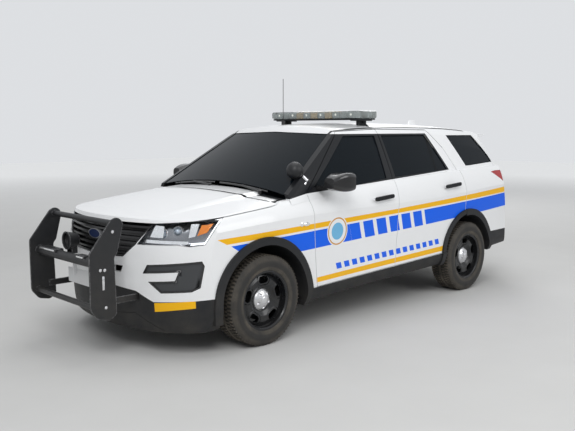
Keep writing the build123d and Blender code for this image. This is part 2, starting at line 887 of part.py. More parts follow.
# Hood and the cowl behind it
hood_rear = hood_rear_form(0)
with BuildPart() as hood:
    add(panel_skin(side_prism(hood_outline, -1200, 1200)) & hood_rear)
hood.part.label = "hood"
export_step(hood.part, "parts/hood.step")

with BuildPart() as cowl:
    add(panel_skin(cowl_block) - hood_rear_form(shut_gap) - house[0])
cowl.part.label = "cowl"
export_step(cowl.part, "parts/cowl.step")

# Bumpers
valance_block = front_prism([(0, 100)] + VALANCE_TOP + [(1100, 100)], 250, 1300)
nose_skin = panel_skin(bumper_block & box((258, 0, 100), (1300, 1200, 1100)))
nose_skin -= front_arch
nose_skin -= box((300, guard_y - 20, 424), (1300, guard_y + 20, 476))
bumper_half = nose_skin - valance_block
bumper_half -= hood_opening
bumper_half -= headlight_opening
bumper_half -= grille_opening
bumper_half -= corner_prism(FOG_BEZEL)
bumper_half -= front_prism(BUMPER_SLOT, 700, 1100)
with BuildPart() as front_bumper:
    add(bumper_half)
    mirror(about=Plane.XZ)
front_bumper.part.label = "front_bumper"
export_step(front_bumper.part, "parts/front_bumper.step")

with BuildPart() as lower_valance:
    add(nose_skin & valance_block)
    mirror(about=Plane.XZ)
lower_valance.part.label = "lower_valance"
export_step(lower_valance.part, "parts/lower_valance.step")

# Rear bumper, bulged in the middle
bumper_bulge = rear_bulge()
rear_bumper_half = panel_skin(tail_block & box((-4400, 0, bumper_split_z), (-3300, 1200, rear_bumper_top)))
rear_bumper_half += (bumper_bulge & left_half) - body[skin]
with BuildPart() as rear_bumper:
    add(rear_bumper_half)
    mirror(about=Plane.XZ)
rear_bumper.part.label = "rear_bumper"
export_step(rear_bumper.part, "parts/rear_bumper.step")

with BuildPart() as rear_valance:
    add(panel_skin(box((-4400, -1200, 100), (-3300, 1200, bumper_split_z))))
    add(wheel_cylinder(rear_axle_x, arch_radius + flare_lip, 400, 1200), mode=Mode.SUBTRACT)
    add(wheel_cylinder(rear_axle_x, arch_radius + flare_lip, -1200, -400), mode=Mode.SUBTRACT)
rear_valance.part.label = "rear_valance"
export_step(rear_valance.part, "parts/rear_valance.step")

# Lamps
headlight = (body[panel_gap] & corner_prism(HEADLIGHT, grow=-panel_gap)) - body[lower_wall]
headlight -= hood_opening
save(both_sides(headlight), "headlights")
tail_lamp = body[panel_gap] & side_prism(LAMP_SIDE, lamp_inner_y + seat_gap, 1200, grow=-panel_gap)
tail_lamp -= body[lower_wall]
save(both_sides(tail_lamp), "tail_lamps")
fog_lamp = (body[panel_gap] & corner_prism(FOG_BEZEL, grow=-seat_gap)) - body[skin]
save(both_sides(fog_lamp), "fog_lamps")

# Grille: backing plate, frame and slats
grille_hole = front_prism(grille_outline, 700, 1100, grow=-panel_gap) - headlight_opening
grille_hole -= corner_mirror(headlight_opening)
grille_hole -= hood_opening
grille_centre = front_prism(grille_outline, 690, 1110, grow=-grille_frame)
slat_count = int((GRILLE[0][1] - GRILLE[-1][1]) / slat_pitch)
slat_heights = [GRILLE[-1][1] + slat_pitch * (i + 0.8) for i in range(slat_count - 1)]
slats = [box((700, -700, z), (1100, 700, z + slat_height)) for z in slat_heights]
grille_bars = (grille_hole - grille_centre) + [grille_hole & slat for slat in slats]
with BuildPart() as grille:
    add((body[lip_depth] & grille_bars) - body[grille_depth])
    add((body[grille_depth] & grille_hole) - body[lower_wall])
    add(body[grille_depth] & both_sides(box((650 + seat_gap, 380, 800), (1000, 410, 840))))
    with BuildSketch(Plane.YZ.offset(at(880))):
        with Locations((0, 889)):
            Ellipse(emblem_width / 2, emblem_height / 2)
    extrude(amount=58)
grille.part.label = "grille"
export_step(grille.part, "parts/grille.step")

# Windows
windscreen_block = front_prism(screen_outline, -1080, 100, grow=-seat_gap)
with BuildPart() as windscreen:
    add(glass(windscreen_block))
windscreen.part.label = "windscreen"
export_step(windscreen.part, "parts/windscreen.step")
quarter_glass = glass(side_prism(QUARTER_WINDOW, 300, 1200, grow=-seat_gap))
save(both_sides(quarter_glass), "quarter_glasses")

# Doors and their glass
front_door = door(FRONT_DOOR, FRONT_WINDOW) + handle(front_handle_dx, front_handle_z)
rear_door = door(REAR_DOOR, REAR_WINDOW)
rear_door -= wheel_cylinder(rear_axle_x, arch_radius + flare_lip + shut_gap, 400, 1200)
rear_door += handle(rear_handle_dx, rear_handle_z)
front_glass = glass(side_prism(FRONT_WINDOW, 300, 1200, grow=-seat_gap))
rear_glass = glass(side_prism(REAR_WINDOW, 300, 1200, grow=-seat_gap))
door_arc = ring(rear_axle_x, arch_radius + flare_lip + shut_gap, flare_radius, 800, 1200)
door_flare = (body[-flare_stand] & (door_arc & side_prism(REAR_DOOR, 300, 1200))) - body[0]
save(front_door, "door_front_left")
save(mirror(front_door, about=Plane.XZ), "door_front_right")
save(rear_door, "door_rear_left")
save(mirror(rear_door, about=Plane.XZ), "door_rear_right")
save(front_glass, "glass_front_left")
save(mirror(front_glass, about=Plane.XZ), "glass_front_right")
save(rear_glass, "glass_rear_left")
save(mirror(rear_glass, about=Plane.XZ), "glass_rear_right")
save(door_flare, "door_flare_left")
save(mirror(door_flare, about=Plane.XZ), "door_flare_right")

# Liftgate with its roof spoiler
rear_window_outline = mirrored_outline(REAR_SCREEN)
tailgate_shell = wall(front_prism(tailgate_outline, -4300, tailgate_front_dx))
spoiler = roof_form() & side_prism(SPOILER, -spoiler_half_width, spoiler_half_width)
spoiler -= house[upper_wall]
with BuildPart() as liftgate:
    add(tailgate_shell)
    add(spoiler)
    add(front_prism(rear_window_outline, -4300, -3540), mode=Mode.SUBTRACT)
liftgate.part.label = "liftgate"
export_step(liftgate.part, "parts/liftgate.step")
with BuildPart() as liftgate_glass:
    add(glass(front_prism(rear_window_outline, -4300, -3540, grow=-seat_gap)))
liftgate_glass.part.label = "liftgate_glass"
export_step(liftgate_glass.part, "parts/liftgate_glass.step")

# Dark cladding: arch flares and rockers
cladding = flare(front_axle_x) + (flare(rear_axle_x) - rear_doorway)
rocker = (body[-cladding_stand] & side_prism(ROCKER_TOP + [(-2450, 100), (-380, 100)], 800, 1200)) - body[0]
rocker -= wheel_cylinder(front_axle_x, flare_radius, 400, 1200)
rocker -= wheel_cylinder(rear_axle_x, flare_radius, 400, 1200)
save(Compound(both_sides(cladding).solids() + both_sides(rocker).solids()), "side_cladding")

# Wheel liners
front_liner = liner(front_axle_x, liner_front_y, 560)
rear_liner = liner(rear_axle_x, liner_rear_y, 240) - box((-2975, 500, 200), (-2755, 700, 470))
save(Compound(both_sides(front_liner).solids() + both_sides(rear_liner).solids()), "wheel_liners")

# Engine bay
with BuildPart() as engine_block:
    add(box((-330, -290, 330), (250, 290, 850)))
    add(both_sides(box((-100, 290, 540), (-20, subframe_y - 30, 600))))
engine_block.part.label = "engine_block"
export_step(engine_block.part, "parts/engine_block.step")

hood_stops = body[skin + seat_gap] & both_sides(box((620, 200, 880), (650, 240, 1300)))
front_rail = box((-536, subframe_y - 30, 530), (740, subframe_y + 40, 610))
front_rail += box((-536, 700, 840), (640, 740, 890))
with BuildPart() as front_structure:
    add(both_sides(front_rail))
    add(box((735, -600, 424), (775, 600, 610)))
    add(box((620, -560, 300), (650, 560, 960)))
    add(box((630, -800, 840), (680, 800, 890)))
    add(body[lower_wall], mode=Mode.INTERSECT)
    add(hood_stops)
front_structure.part.label = "front_structure"
export_step(front_structure.part, "parts/front_structure.step")

# Suspension
with BuildPart() as front_subframe:
    add(both_sides(box((-350, subframe_y - 50, 200), (250, subframe_y, 260))))
    add(box((-350, 50 - subframe_y, 200), (-290, subframe_y - 50, 260)))
    add(box((190, 50 - subframe_y, 200), (250, subframe_y - 50, 260)))
    for dx in (-150, 150):
        add(both_sides(box((dx - 25, subframe_y - 50, 260), (dx + 25, subframe_y, 530))))
    for z in (tyre_radius - arm_offset, tyre_radius + arm_offset):
        add(both_sides(wishbone(z)))
front_subframe.part.label = "front_subframe"
export_step(front_subframe.part, "parts/front_subframe.step")

with BuildPart() as rear_axle:
    add(box((-2975, -130, 280), (-2755, 130, 440)))
    add(both_sides(wheel_cylinder(rear_axle_x, 24, 120, 680)))
    add(both_sides(box((-2910, 655, 250), (-2820, 700, 450))))
    add(both_sides(box((-2900, 120, 250), (-2830, 670, 276))))
    add(both_sides(wheel_cylinder(rear_axle_x, 52, 690, track / 2 + disc_offset - 50)))
    add(both_sides(wheel_cylinder(rear_axle_x, stub_radius, 690, track / 2 + disc_offset + 22)))
    add(box((-2960, -40, 430), (-2770, 40, load_floor_z - sheet)))
rear_axle.part.label = "rear_axle"
export_step(rear_axle.part, "parts/rear_axle.step")

with BuildPart() as exhaust:
    with BuildSketch(Plane.YZ.offset(at(-3300))):
        with Locations((200, 212)):
            Circle(28)
    extrude(amount=2600)
    add(box((-3720, 60, 180), (-3300, 340, 320)))
    with BuildSketch(Plane.YZ.offset(at(-3990))):
        with Locations((260, 262)):
            Circle(32)
    extrude(amount=300)
    for dx in (-750, -1500, -2300):
        add(box((dx, 194, 230), (dx + 12, 206, floor_z - sheet)))
exhaust.part.label = "exhaust"
export_step(exhaust.part, "parts/exhaust.step")

# Cabin
wheel_plane = Plane((at(-1110), 390, 1010), x_dir=(0, 1, 0), z_dir=(cos(radians(155)), 0, sin(radians(155))))
column_radius = 40
with BuildPart() as dashboard:
    add(side_prism(DASHBOARD, -dashboard_half_width, dashboard_half_width))
    with BuildSketch(wheel_plane):
        Circle(column_radius + seat_gap)
    extrude(amount=-200 - seat_gap, mode=Mode.SUBTRACT)
    add(box((-1250, -110, floor_z + 110), (-860, 110, 700)))
dashboard.part.label = "dashboard"
export_step(dashboard.part, "parts/dashboard.step")

with BuildPart() as steering_wheel:
    with BuildSketch(wheel_plane):
        Circle(column_radius)
    extrude(amount=-200)
    with Locations(wheel_plane):
        Torus(175, 14)
        Box(340, 34, 16)
        Box(34, 170, 16, align=(Align.CENTER, Align.MAX, Align.CENTER))
steering_wheel.part.label = "steering_wheel"
export_step(steering_wheel.part, "parts/steering_wheel.step")

with BuildPart() as front_seats:
    add(both_sides(seat(390)))
front_seats.part.label = "front_seats"
export_step(front_seats.part, "parts/front_seats.step")

with BuildPart() as rear_bench:
    add(side_prism(BENCH, -620, 620))
rear_bench.part.label = "rear_bench"
export_step(rear_bench.part, "parts/rear_bench.step")

# Push bumper
with BuildPart() as push_bumper:
    plate_faces = (guard_y - guard_plate / 2, guard_y + guard_plate / 2)
    add(both_sides(rounded_side_prism(GUARD_PLATE, *plate_faces, guard_corner)))
    add(both_sides(box((775, guard_y - 18, 426), (1100, guard_y - 6, 474))))
    for dx, z, radius in GUARD_TUBES:
        with BuildSketch(Plane.XZ.offset(-guard_y)):
            with Locations((at(dx), z)):
                Circle(radius)
        extrude(amount=2 * guard_y)
push_bumper.part.label = "push_bumper"
export_step(push_bumper.part, "parts/push_bumper.step")

guard_tube_back = GUARD_TUBES[1][0] - GUARD_TUBES[1][2] - seat_gap
with BuildPart() as number_plate:
    plate_face_dx = plate_back_dx + plate_thickness
    with BuildSketch(Plane.YZ.offset(at(plate_back_dx))):
        with Locations((plate_y, plate_z)):
            RectangleRounded(plate_length, plate_height, 10)
    extrude(amount=plate_thickness)
    for y in (plate_y - plate_arm_y, plate_y + plate_arm_y):
        add(box((plate_face_dx, y, plate_z + 20), (guard_tube_back, y + plate_arm_width, plate_arm_top)))
number_plate.part.label = "number_plate"
export_step(number_plate.part, "parts/number_plate.step")

with BuildPart() as siren_speaker:
    with BuildSketch(Plane.YZ.offset(at(985))):
        with Locations((-197, 823)):
            Circle(52)
    with BuildSketch(Plane.YZ.offset(at(1075))):
        with Locations((-197, 823)):
            Circle(72)
    loft()
    with BuildSketch(Plane.YZ.offset(at(1077))):
        with Locations((-197, 823)):
            Circle(60)
    extrude(amount=-30, mode=Mode.SUBTRACT)
    add(box((1000, -237, 720), (guard_tube_back, -157, 726)))
    add(box((1000, -237, 720), (1050, -231, 830)))
    add(box((1000, -163, 720), (1050, -157, 830)))
siren_speaker.part.label = "siren_speaker"
export_step(siren_speaker.part, "parts/siren_speaker.step")

# Roof equipment
with BuildPart() as light_bar:
    with BuildSketch(Plane.XY.offset(light_bar_z)):
        with Locations((at(light_bar_dx), 0)):
            RectangleRounded(light_bar_width, light_bar_length, 60)
    extrude(amount=light_bar_height, taper=6)
    with BuildSketch(Plane.XY.offset(light_bar_z)):
        with Locations((at(light_bar_dx), -light_bar_foot_y), (at(light_bar_dx), light_bar_foot_y)):
            Rectangle(*light_bar_foot)
    extrude(amount=-80)
    add(house[0], mode=Mode.SUBTRACT)
light_bar.part.label = "light_bar"
export_step(light_bar.part, "parts/light_bar.step")

lamp_centre = Vector(at(-470), 795, 1352)
lamp_foot = Vector(at(-575), 862, 1262)
with BuildPart() as spotlight:
    with Locations(lamp_centre):
        Sphere(72)
    with BuildSketch(Plane(lamp_centre, z_dir=lamp_foot - lamp_centre)):
        Circle(13)
    extrude(amount=(lamp_foot - lamp_centre).length)
    add(house[0], mode=Mode.SUBTRACT)
save(spotlight.part.solids().sort_by(SortBy.VOLUME)[-1], "spotlight")

with BuildPart() as roof_antennas:
    fin_along = Vector(1, 0, fin_foot_slope)
    fin_up = Vector(-fin_foot_slope, 0, 1)
    with BuildSketch(Plane(Vector(at(fin_dx), 0, fin_foot_z), x_dir=fin_along, z_dir=fin_up)):
        Ellipse(fin_length / 2, fin_width / 2)
    extrude(amount=fin_height, taper=14)
    with BuildSketch(Plane.XY.offset(whip_base_low)):
        with Locations((at(whip_dx), whip_y)):
            Circle(18)
    extrude(amount=whip_base_top - whip_base_low)
    with BuildSketch(Plane.XY.offset(whip_base_top)):
        with Locations((at(whip_dx), whip_y)):
            Circle(3)
    extrude(amount=whip_top - whip_base_top)
roof_antennas.part.label = "roof_antennas"
export_step(roof_antennas.part, "parts/roof_antennas.step")

# Door mirrors
mirror_front, mirror_middle, mirror_back = mirror_dx
with BuildPart() as mirror_left:
    with BuildSketch(Plane.YZ.offset(at(mirror_back))):
        with Locations((mirror_y, mirror_z)):
            RectangleRounded(166, 142, 34)
    with BuildSketch(Plane.YZ.offset(at(mirror_middle))):
        with Locations((mirror_y, mirror_z)):
            RectangleRounded(168, 144, 34)
    with BuildSketch(Plane.YZ.offset(at(mirror_front))):
        with Locations((mirror_y, mirror_z - 4)):
            RectangleRounded(110, 86, 34)
    loft()
    add(box((-700, 880, 1192), (-620, 1010, 1224)))
    add(body[0], mode=Mode.SUBTRACT)
    add(house[0], mode=Mode.SUBTRACT)
mirror_solid = mirror_left.part.solids().sort_by(Axis.Y)[-1]
save(mirror_solid, "mirror_left")
save(mirror(mirror_solid, about=Plane.XZ), "mirror_right")

# Wheels and knuckles
tyre_solid = tyre()
wheel_solid = wheel()
knuckle_solid = knuckle()
for corner, x, side in (
    ("front_left", front_axle_x, 1),
    ("front_right", front_axle_x, -1),
    ("rear_left", rear_axle_x, 1),
    ("rear_right", rear_axle_x, -1),
):
    place = Location((x, side * track / 2, tyre_radius))
    save(place * tyre_solid, "tyre_" + corner)
    facing = wheel_solid if side > 0 else mirror(wheel_solid, about=Plane.XZ)
    save(place * facing, "wheel_" + corner)
    if x == front_axle_x:
        carrier = knuckle_solid if side > 0 else mirror(knuckle_solid, about=Plane.XZ)
        save(place * carrier, "knuckle_" + corner.split("_")[1])
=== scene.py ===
"""The looks of a police patrol car: paint and stripes, glass, lamps, tyre tread and small fittings.

Lengths are metres in the car's own frame: +X forward, +Y the car's left, +Z up, ground at zero.
Places along the car are given as dx, the distance ahead of the front axle.
"""

import json
import math

import bmesh
import bpy
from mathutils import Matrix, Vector

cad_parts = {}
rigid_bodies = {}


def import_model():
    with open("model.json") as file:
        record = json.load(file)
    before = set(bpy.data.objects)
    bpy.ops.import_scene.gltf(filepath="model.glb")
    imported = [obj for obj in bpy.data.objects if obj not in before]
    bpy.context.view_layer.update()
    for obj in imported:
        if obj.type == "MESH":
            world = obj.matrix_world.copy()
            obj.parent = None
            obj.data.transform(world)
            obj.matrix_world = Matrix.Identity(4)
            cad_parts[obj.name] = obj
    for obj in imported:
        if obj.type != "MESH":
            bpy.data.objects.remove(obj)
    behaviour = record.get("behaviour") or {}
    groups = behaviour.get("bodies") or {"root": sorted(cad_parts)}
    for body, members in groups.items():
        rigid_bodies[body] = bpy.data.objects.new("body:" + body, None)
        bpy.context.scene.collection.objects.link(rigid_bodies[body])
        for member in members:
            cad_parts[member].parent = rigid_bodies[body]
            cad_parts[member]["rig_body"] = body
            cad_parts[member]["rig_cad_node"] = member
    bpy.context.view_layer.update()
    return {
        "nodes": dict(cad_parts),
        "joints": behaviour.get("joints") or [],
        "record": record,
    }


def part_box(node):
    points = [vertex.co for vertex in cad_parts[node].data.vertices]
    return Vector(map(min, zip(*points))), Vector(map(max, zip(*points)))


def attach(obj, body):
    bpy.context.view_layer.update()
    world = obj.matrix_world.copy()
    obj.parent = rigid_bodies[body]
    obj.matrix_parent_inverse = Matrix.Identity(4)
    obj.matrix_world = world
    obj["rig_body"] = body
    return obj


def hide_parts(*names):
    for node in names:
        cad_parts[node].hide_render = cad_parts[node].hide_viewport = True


bl_info = {
    "name": "Police patrol car",
    "version": (1, 0, 0),
    "blender": (4, 5, 0),
    "location": "3D View > Sidebar > Patrol car",
    "description": "Paint, lamps, tyres and fittings of a police patrol car",
    "category": "Object",
}

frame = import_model()
NODES = frame["nodes"]
JOINTS = {joint["name"]: joint for joint in frame["joints"]}
WHEELS = ("front_left", "front_right", "rear_left", "rear_right")
NUMBER = "NodeSocketFloat"
COLOUR = "NodeSocketColor"
BLACK = (0.012, 0.012, 0.013)


def wheel_middle(corner):
    """The middle of a wheel."""
    return Vector(JOINTS["spin_" + corner]["pos_m"])


FRONT_AXLE = wheel_middle("front_left")
REAR_AXLE = wheel_middle("rear_left")
TYRE_RADIUS = FRONT_AXLE.z


def at(dx):
    """X of a place dx ahead of the front axle."""
    return FRONT_AXLE.x + dx


class PatrolPaint(bpy.types.PropertyGroup):
    """Colours of the car and its stripes."""

    white: bpy.props.FloatVectorProperty(
        name="White", description="Body colour", subtype="COLOR", size=3, default=(0.86, 0.87, 0.88)
    )
    yellow: bpy.props.FloatVectorProperty(
        name="Yellow", description="Narrow stripes", subtype="COLOR", size=3, default=(0.93, 0.49, 0.006)
    )
    blue: bpy.props.FloatVectorProperty(
        name="Blue", description="Broad side band", subtype="COLOR", size=3, default=(0.001, 0.125, 0.86)
    )
    badge: bpy.props.FloatVectorProperty(
        name="Badge",
        description="Middle of the round door badge",
        subtype="COLOR",
        size=3,
        default=(0.17, 0.48, 0.75),
    )
    gold: bpy.props.FloatVectorProperty(
        name="Badge ring", description="Ring of the door badge", subtype="COLOR", size=3, default=(0.62, 0.30, 0.06)
    )
    dust: bpy.props.FloatProperty(
        name="Dust", description="Road dust on the lower body", default=0.35, min=0.0, max=1.0, subtype="FACTOR"
    )


class PatrolSizes(bpy.types.PropertyGroup):
    """Sizes of the added pieces."""

    tread_columns: bpy.props.IntProperty(
        name="Tread blocks", description="Blocks round each tyre", default=74, min=24, max=120
    )
    tread_depth: bpy.props.FloatProperty(
        name="Tread depth", description="Height of the tread blocks", default=0.007, unit="LENGTH"
    )
    band_height: bpy.props.FloatProperty(
        name="Band height", description="Height of the blue band", default=0.149, unit="LENGTH"
    )
    badge_radius: bpy.props.FloatProperty(
        name="Badge radius", description="Radius of the door badge", default=0.118, unit="LENGTH"
    )
    bar_height: bpy.props.FloatProperty(
        name="Light bar height", description="Height of the light bar over its feet", default=0.086, unit="LENGTH"
    )
    wiper_width: bpy.props.FloatProperty(
        name="Wiper width", description="Width of the wiper arms", default=0.016, unit="LENGTH"
    )


def paint():
    """The colours in use."""
    return bpy.context.scene.patrol_paint


def sizes():
    """The sizes in use."""
    return bpy.context.scene.patrol_sizes


class Graph:
    """Short hands for building a node tree, and its Principled shader where it has one."""

    def __init__(self, tree):
        self.tree = tree
        self.shader = tree.nodes.get("Principled BSDF")

    def node(self, kind, **settings):
        """A new node, with its own settings."""
        made = self.tree.nodes.new(kind)
        for name, value in settings.items():
            setattr(made, name, value)
        return made

    def put(self, socket, value):
        """Links an output to a socket, or sets the socket's value."""
        if isinstance(value, bpy.types.NodeSocket):
            self.tree.links.new(value, socket)
        elif socket.type == "RGBA" and len(value) == 3:
            socket.default_value = (*value, 1.0)
        else:
            socket.default_value = value

    def fill(self, made, values):
        """Links or sets a node's inputs by name, with underscores for spaces."""
        for label, value in values.items():
            self.put(made.inputs[label.replace("_", " ")], value)
        return made

    def feed(self, **values):
        """Links or sets inputs of the shader."""
        self.fill(self.shader, values)

    def bump(self, height, strength, distance=0.001):
        """A Bump node in front of the shader's normal."""
        settings = {"Height": height, "Strength": strength, "Distance": distance}
        self.feed(Normal=self.fill(self.node("ShaderNodeBump"), settings).outputs[0])

    def effect(self, name, **values):
        """One of the shared effects, with this material's values. It is built at its first use."""
        if name not in EFFECTS:
            EFFECTS[name] = EFFECT_MAKERS[name]()
        return self.fill(self.node("ShaderNodeGroup", node_tree=EFFECTS[name]), values).outputs

    def math(self, operation, *values, clamp=False):
        """A Math node's result."""
        made = self.node("ShaderNodeMath", operation=operation, use_clamp=clamp)
        for socket, value in zip(made.inputs, values):
            self.put(socket, value)
        return made.outputs[0]

    def above(self, value, limit, soft=0.0012):
        """1 where value is over limit, with a soft edge."""
        return self.math("DIVIDE", self.math("SUBTRACT", value, limit), soft, clamp=True)

    def below(self, value, limit, soft=0.0012):
        """1 where value is under limit, with a soft edge."""
        return self.math("SUBTRACT", 1.0, self.above(value, limit, soft), clamp=True)

    def both(self, *masks):
        """1 where all masks are 1."""
        result = masks[0]
        for mask in masks[1:]:
            result = self.math("MULTIPLY", result, mask)
        return result

    def within(self, value, low, high):
        """1 where value is between two limits."""
        return self.both(self.above(value, low), self.below(value, high))

    def gap(self, value, middle):
        """How far value is from a middle."""
        return self.math("ABSOLUTE", self.math("SUBTRACT", value, middle))

    def distance(self, across, up):
        """Length of the slanted line with these two parts."""
        squares = [self.math("MULTIPLY", part, part) for part in (across, up)]
        return self.math("SQRT", self.math("ADD", *squares))

    def line(self, x, first, second):
        """Height at x of a straight line through two points."""
        slope = (second[1] - first[1]) / (second[0] - first[0])
        return self.math("MULTIPLY_ADD", x, slope, first[1] - slope * first[0])

    def bent(self, x, front, bend, rear):
        """Height at x of a line through three points, bent at the middle one."""
        ahead = self.above(x, bend[0])
        behind = self.math("SUBTRACT", 1.0, ahead)
        first = self.math("MULTIPLY", self.line(x, front, bend), ahead)
        return self.math("ADD", first, self.math("MULTIPLY", self.line(x, bend, rear), behind))

    def mix(self, mask, under, over):
        """One colour laid over another by a mask."""
        made = self.node("ShaderNodeMix", data_type="RGBA")
        for socket, value in zip((made.inputs["Factor"], made.inputs[6], made.inputs[7]), (mask, under, over)):
            self.put(socket, value)
        return made.outputs[2]

    def split(self, output):
        """X, Y and Z of a point on the piece ("Object") or of the way its surface faces ("Normal")."""
        made = self.node("ShaderNodeSeparateXYZ")
        self.put(made.inputs[0], self.node("ShaderNodeTexCoord").outputs[output])
        return tuple(made.outputs)

    def position(self):
        """X, Y and Z of a point on the piece."""
        return self.split("Object")

    def place(self):
        """How far a point lies ahead of the front axle and out from the car's middle plane, and its height."""
        x, y, z = self.position()
        return self.math("SUBTRACT", x, FRONT_AXLE.x), self.math("ABSOLUTE", y), z

    def facing(self):
        """How far the surface faces forward, upward and away from the car's middle plane, from -1 to 1."""
        x, y, z = self.split("Normal")
        return x, z, self.math("MULTIPLY", y, self.math("SIGN", self.position()[1]))

    def noise(self, scale, detail=3.0, roughness=0.55):
        """Noise that stays on the piece."""
        place = self.node("ShaderNodeTexCoord").outputs["Object"]
        settings = {"Vector": place, "Scale": scale, "Detail": detail, "Roughness": roughness}
        return self.fill(self.node("ShaderNodeTexNoise"), settings).outputs["Fac"]

    def spread(self, scale, gain, lift, detail=3.0):
        """Noise made stronger or weaker, kept between 0 and 1."""
        return self.math("MULTIPLY_ADD", self.noise(scale, detail), gain, lift, clamp=True)


def new_group(name, inputs, outputs):
    """A node group, a Graph of it, and its inner sockets to read and to feed. Inputs are (name, kind, default)."""
    tree = bpy.data.node_groups.new(name, "ShaderNodeTree")
    for label, kind, default in inputs:
        socket = tree.interface.new_socket(label, in_out="INPUT", socket_type=kind)
        socket.default_value = (*default, 1.0) if kind == COLOUR else default
    for label, kind in outputs:
        tree.interface.new_socket(label, in_out="OUTPUT", socket_type=kind)
    graph = Graph(tree)
    return tree, graph, graph.node("NodeGroupInput").outputs, graph.node("NodeGroupOutput").inputs


def dust_group():
    """Road dust: thick near the ground, thin and blotchy above."""
    tree, g, given, result = new_group(
        "Road dust",
        [("Amount", NUMBER, 0.35), ("Top", NUMBER, 0.75), ("Colour", COLOUR, (0.32, 0.28, 0.22))],
        [("Mask", NUMBER), ("Colour", COLOUR)],
    )
    fade = g.math("SUBTRACT", 1.0, g.math("DIVIDE", g.position()[2], given["Top"]), clamp=True)
    blotches = g.spread(7.0, 1.6, -0.35)
    specks = g.math("MULTIPLY_ADD", g.noise(190.0, 2.0), 1.2, 0.1)
    film = g.both(g.math("POWER", fade, 1.4), blotches, specks)
    g.put(result["Mask"], g.math("MULTIPLY", film, given["Amount"], clamp=True))
    g.put(result["Colour"], given["Colour"])
    return tree


def grain_group():
    """Fine moulded grain: a height for bump and an uneven roughness."""
    tree, g, given, result = new_group(
        "Fine grain",
        [("Scale", NUMBER, 900.0), ("Roughness", NUMBER, 0.5), ("Spread", NUMBER, 0.12)],
        [("Height", NUMBER), ("Roughness", NUMBER)],
    )
    g.put(result["Height"], g.noise(given["Scale"], 2.0))
    uneven = g.math("MULTIPLY", g.math("SUBTRACT", g.noise(12.0), 0.5), given["Spread"])
    g.put(result["Roughness"], g.math("ADD", given["Roughness"], uneven, clamp=True))
    return tree


def wear_and_highlight_group():
    """Bare rubbed edges, broken up by noise; on the push bumper this mask also carries a painted highlight along
    the edges.
    """
    tree, g, given, result = new_group(
        "Edge wear and highlight", [("Width", NUMBER, 0.004), ("Amount", NUMBER, 0.6)], [("Mask", NUMBER)]
    )
    bevel = g.node("ShaderNodeBevel", samples=4)
    g.put(bevel.inputs["Radius"], given["Width"])
    turn = g.node("ShaderNodeVectorMath", operation="DOT_PRODUCT")
    g.put(turn.inputs[0], bevel.outputs[0])
    g.put(turn.inputs[1], g.node("ShaderNodeNewGeometry").outputs["Normal"])
    edge = g.math("MULTIPLY", g.math("SUBTRACT", 0.985, turn.outputs["Value"]), 9.0, clamp=True)
    g.put(result["Mask"], g.both(edge, g.spread(60.0, 3.0, -1.1), given["Amount"]))
    return tree


# Edges of the side stripes: dx and height of their points, from front to rear
UPPER_TOP = ((0.470, 0.887), (-1.635, 0.957), (-3.476, 1.042))
UPPER_LOW = ((0.381, 0.843), (-1.635, 0.916), (-3.476, 0.985))
BAND_TOP = ((0.343, 0.827), (-2.017, 0.914), (-3.490, 0.975))
LOWER_TOP = ((-0.592, 0.463), (-2.430, 0.527))
LOWER_LOW = ((-0.592, 0.422), (-2.430, 0.477))
LOWER_REAR = -2.70
# Front ends of the stripes: dx, the height at which they have it, and their slant
UPPER_FRONT = (0.381, 0.843, 2.0)
BAND_FRONT = (0.300, 0.800, 1.6)
LOWER_FRONT = (-0.560, 0.44, 0.0)
# Slanted white gaps in the band and dashes over the lower stripe: span along the car, pitch, white share
SLANT = -0.28
SLANT_HEIGHT = 0.82
GAP_SPAN = (-2.085, -0.985)
GAP_PITCH = 0.1833
GAP_SHARE = 0.26
DASH_SPAN = (-2.26, -0.70)
DASH_PITCH = 0.104
DASH_SHARE = 0.36
DASH_RISE = (0.030, 0.083)
# Door badge: dx and height of its middle, and its discs from the outermost, as shares of its radius
BADGE_MIDDLE = (-0.819, 0.829)
BADGE_DISCS = ((1.08, "White"), (1.0, "Gold"), (0.90, "White"), (0.62, "Badge"))
# The sides of the body: how far out they lie at least, and how far they face outwards at least
SIDE_OUT = 0.60
SIDE_TURN = 0.25


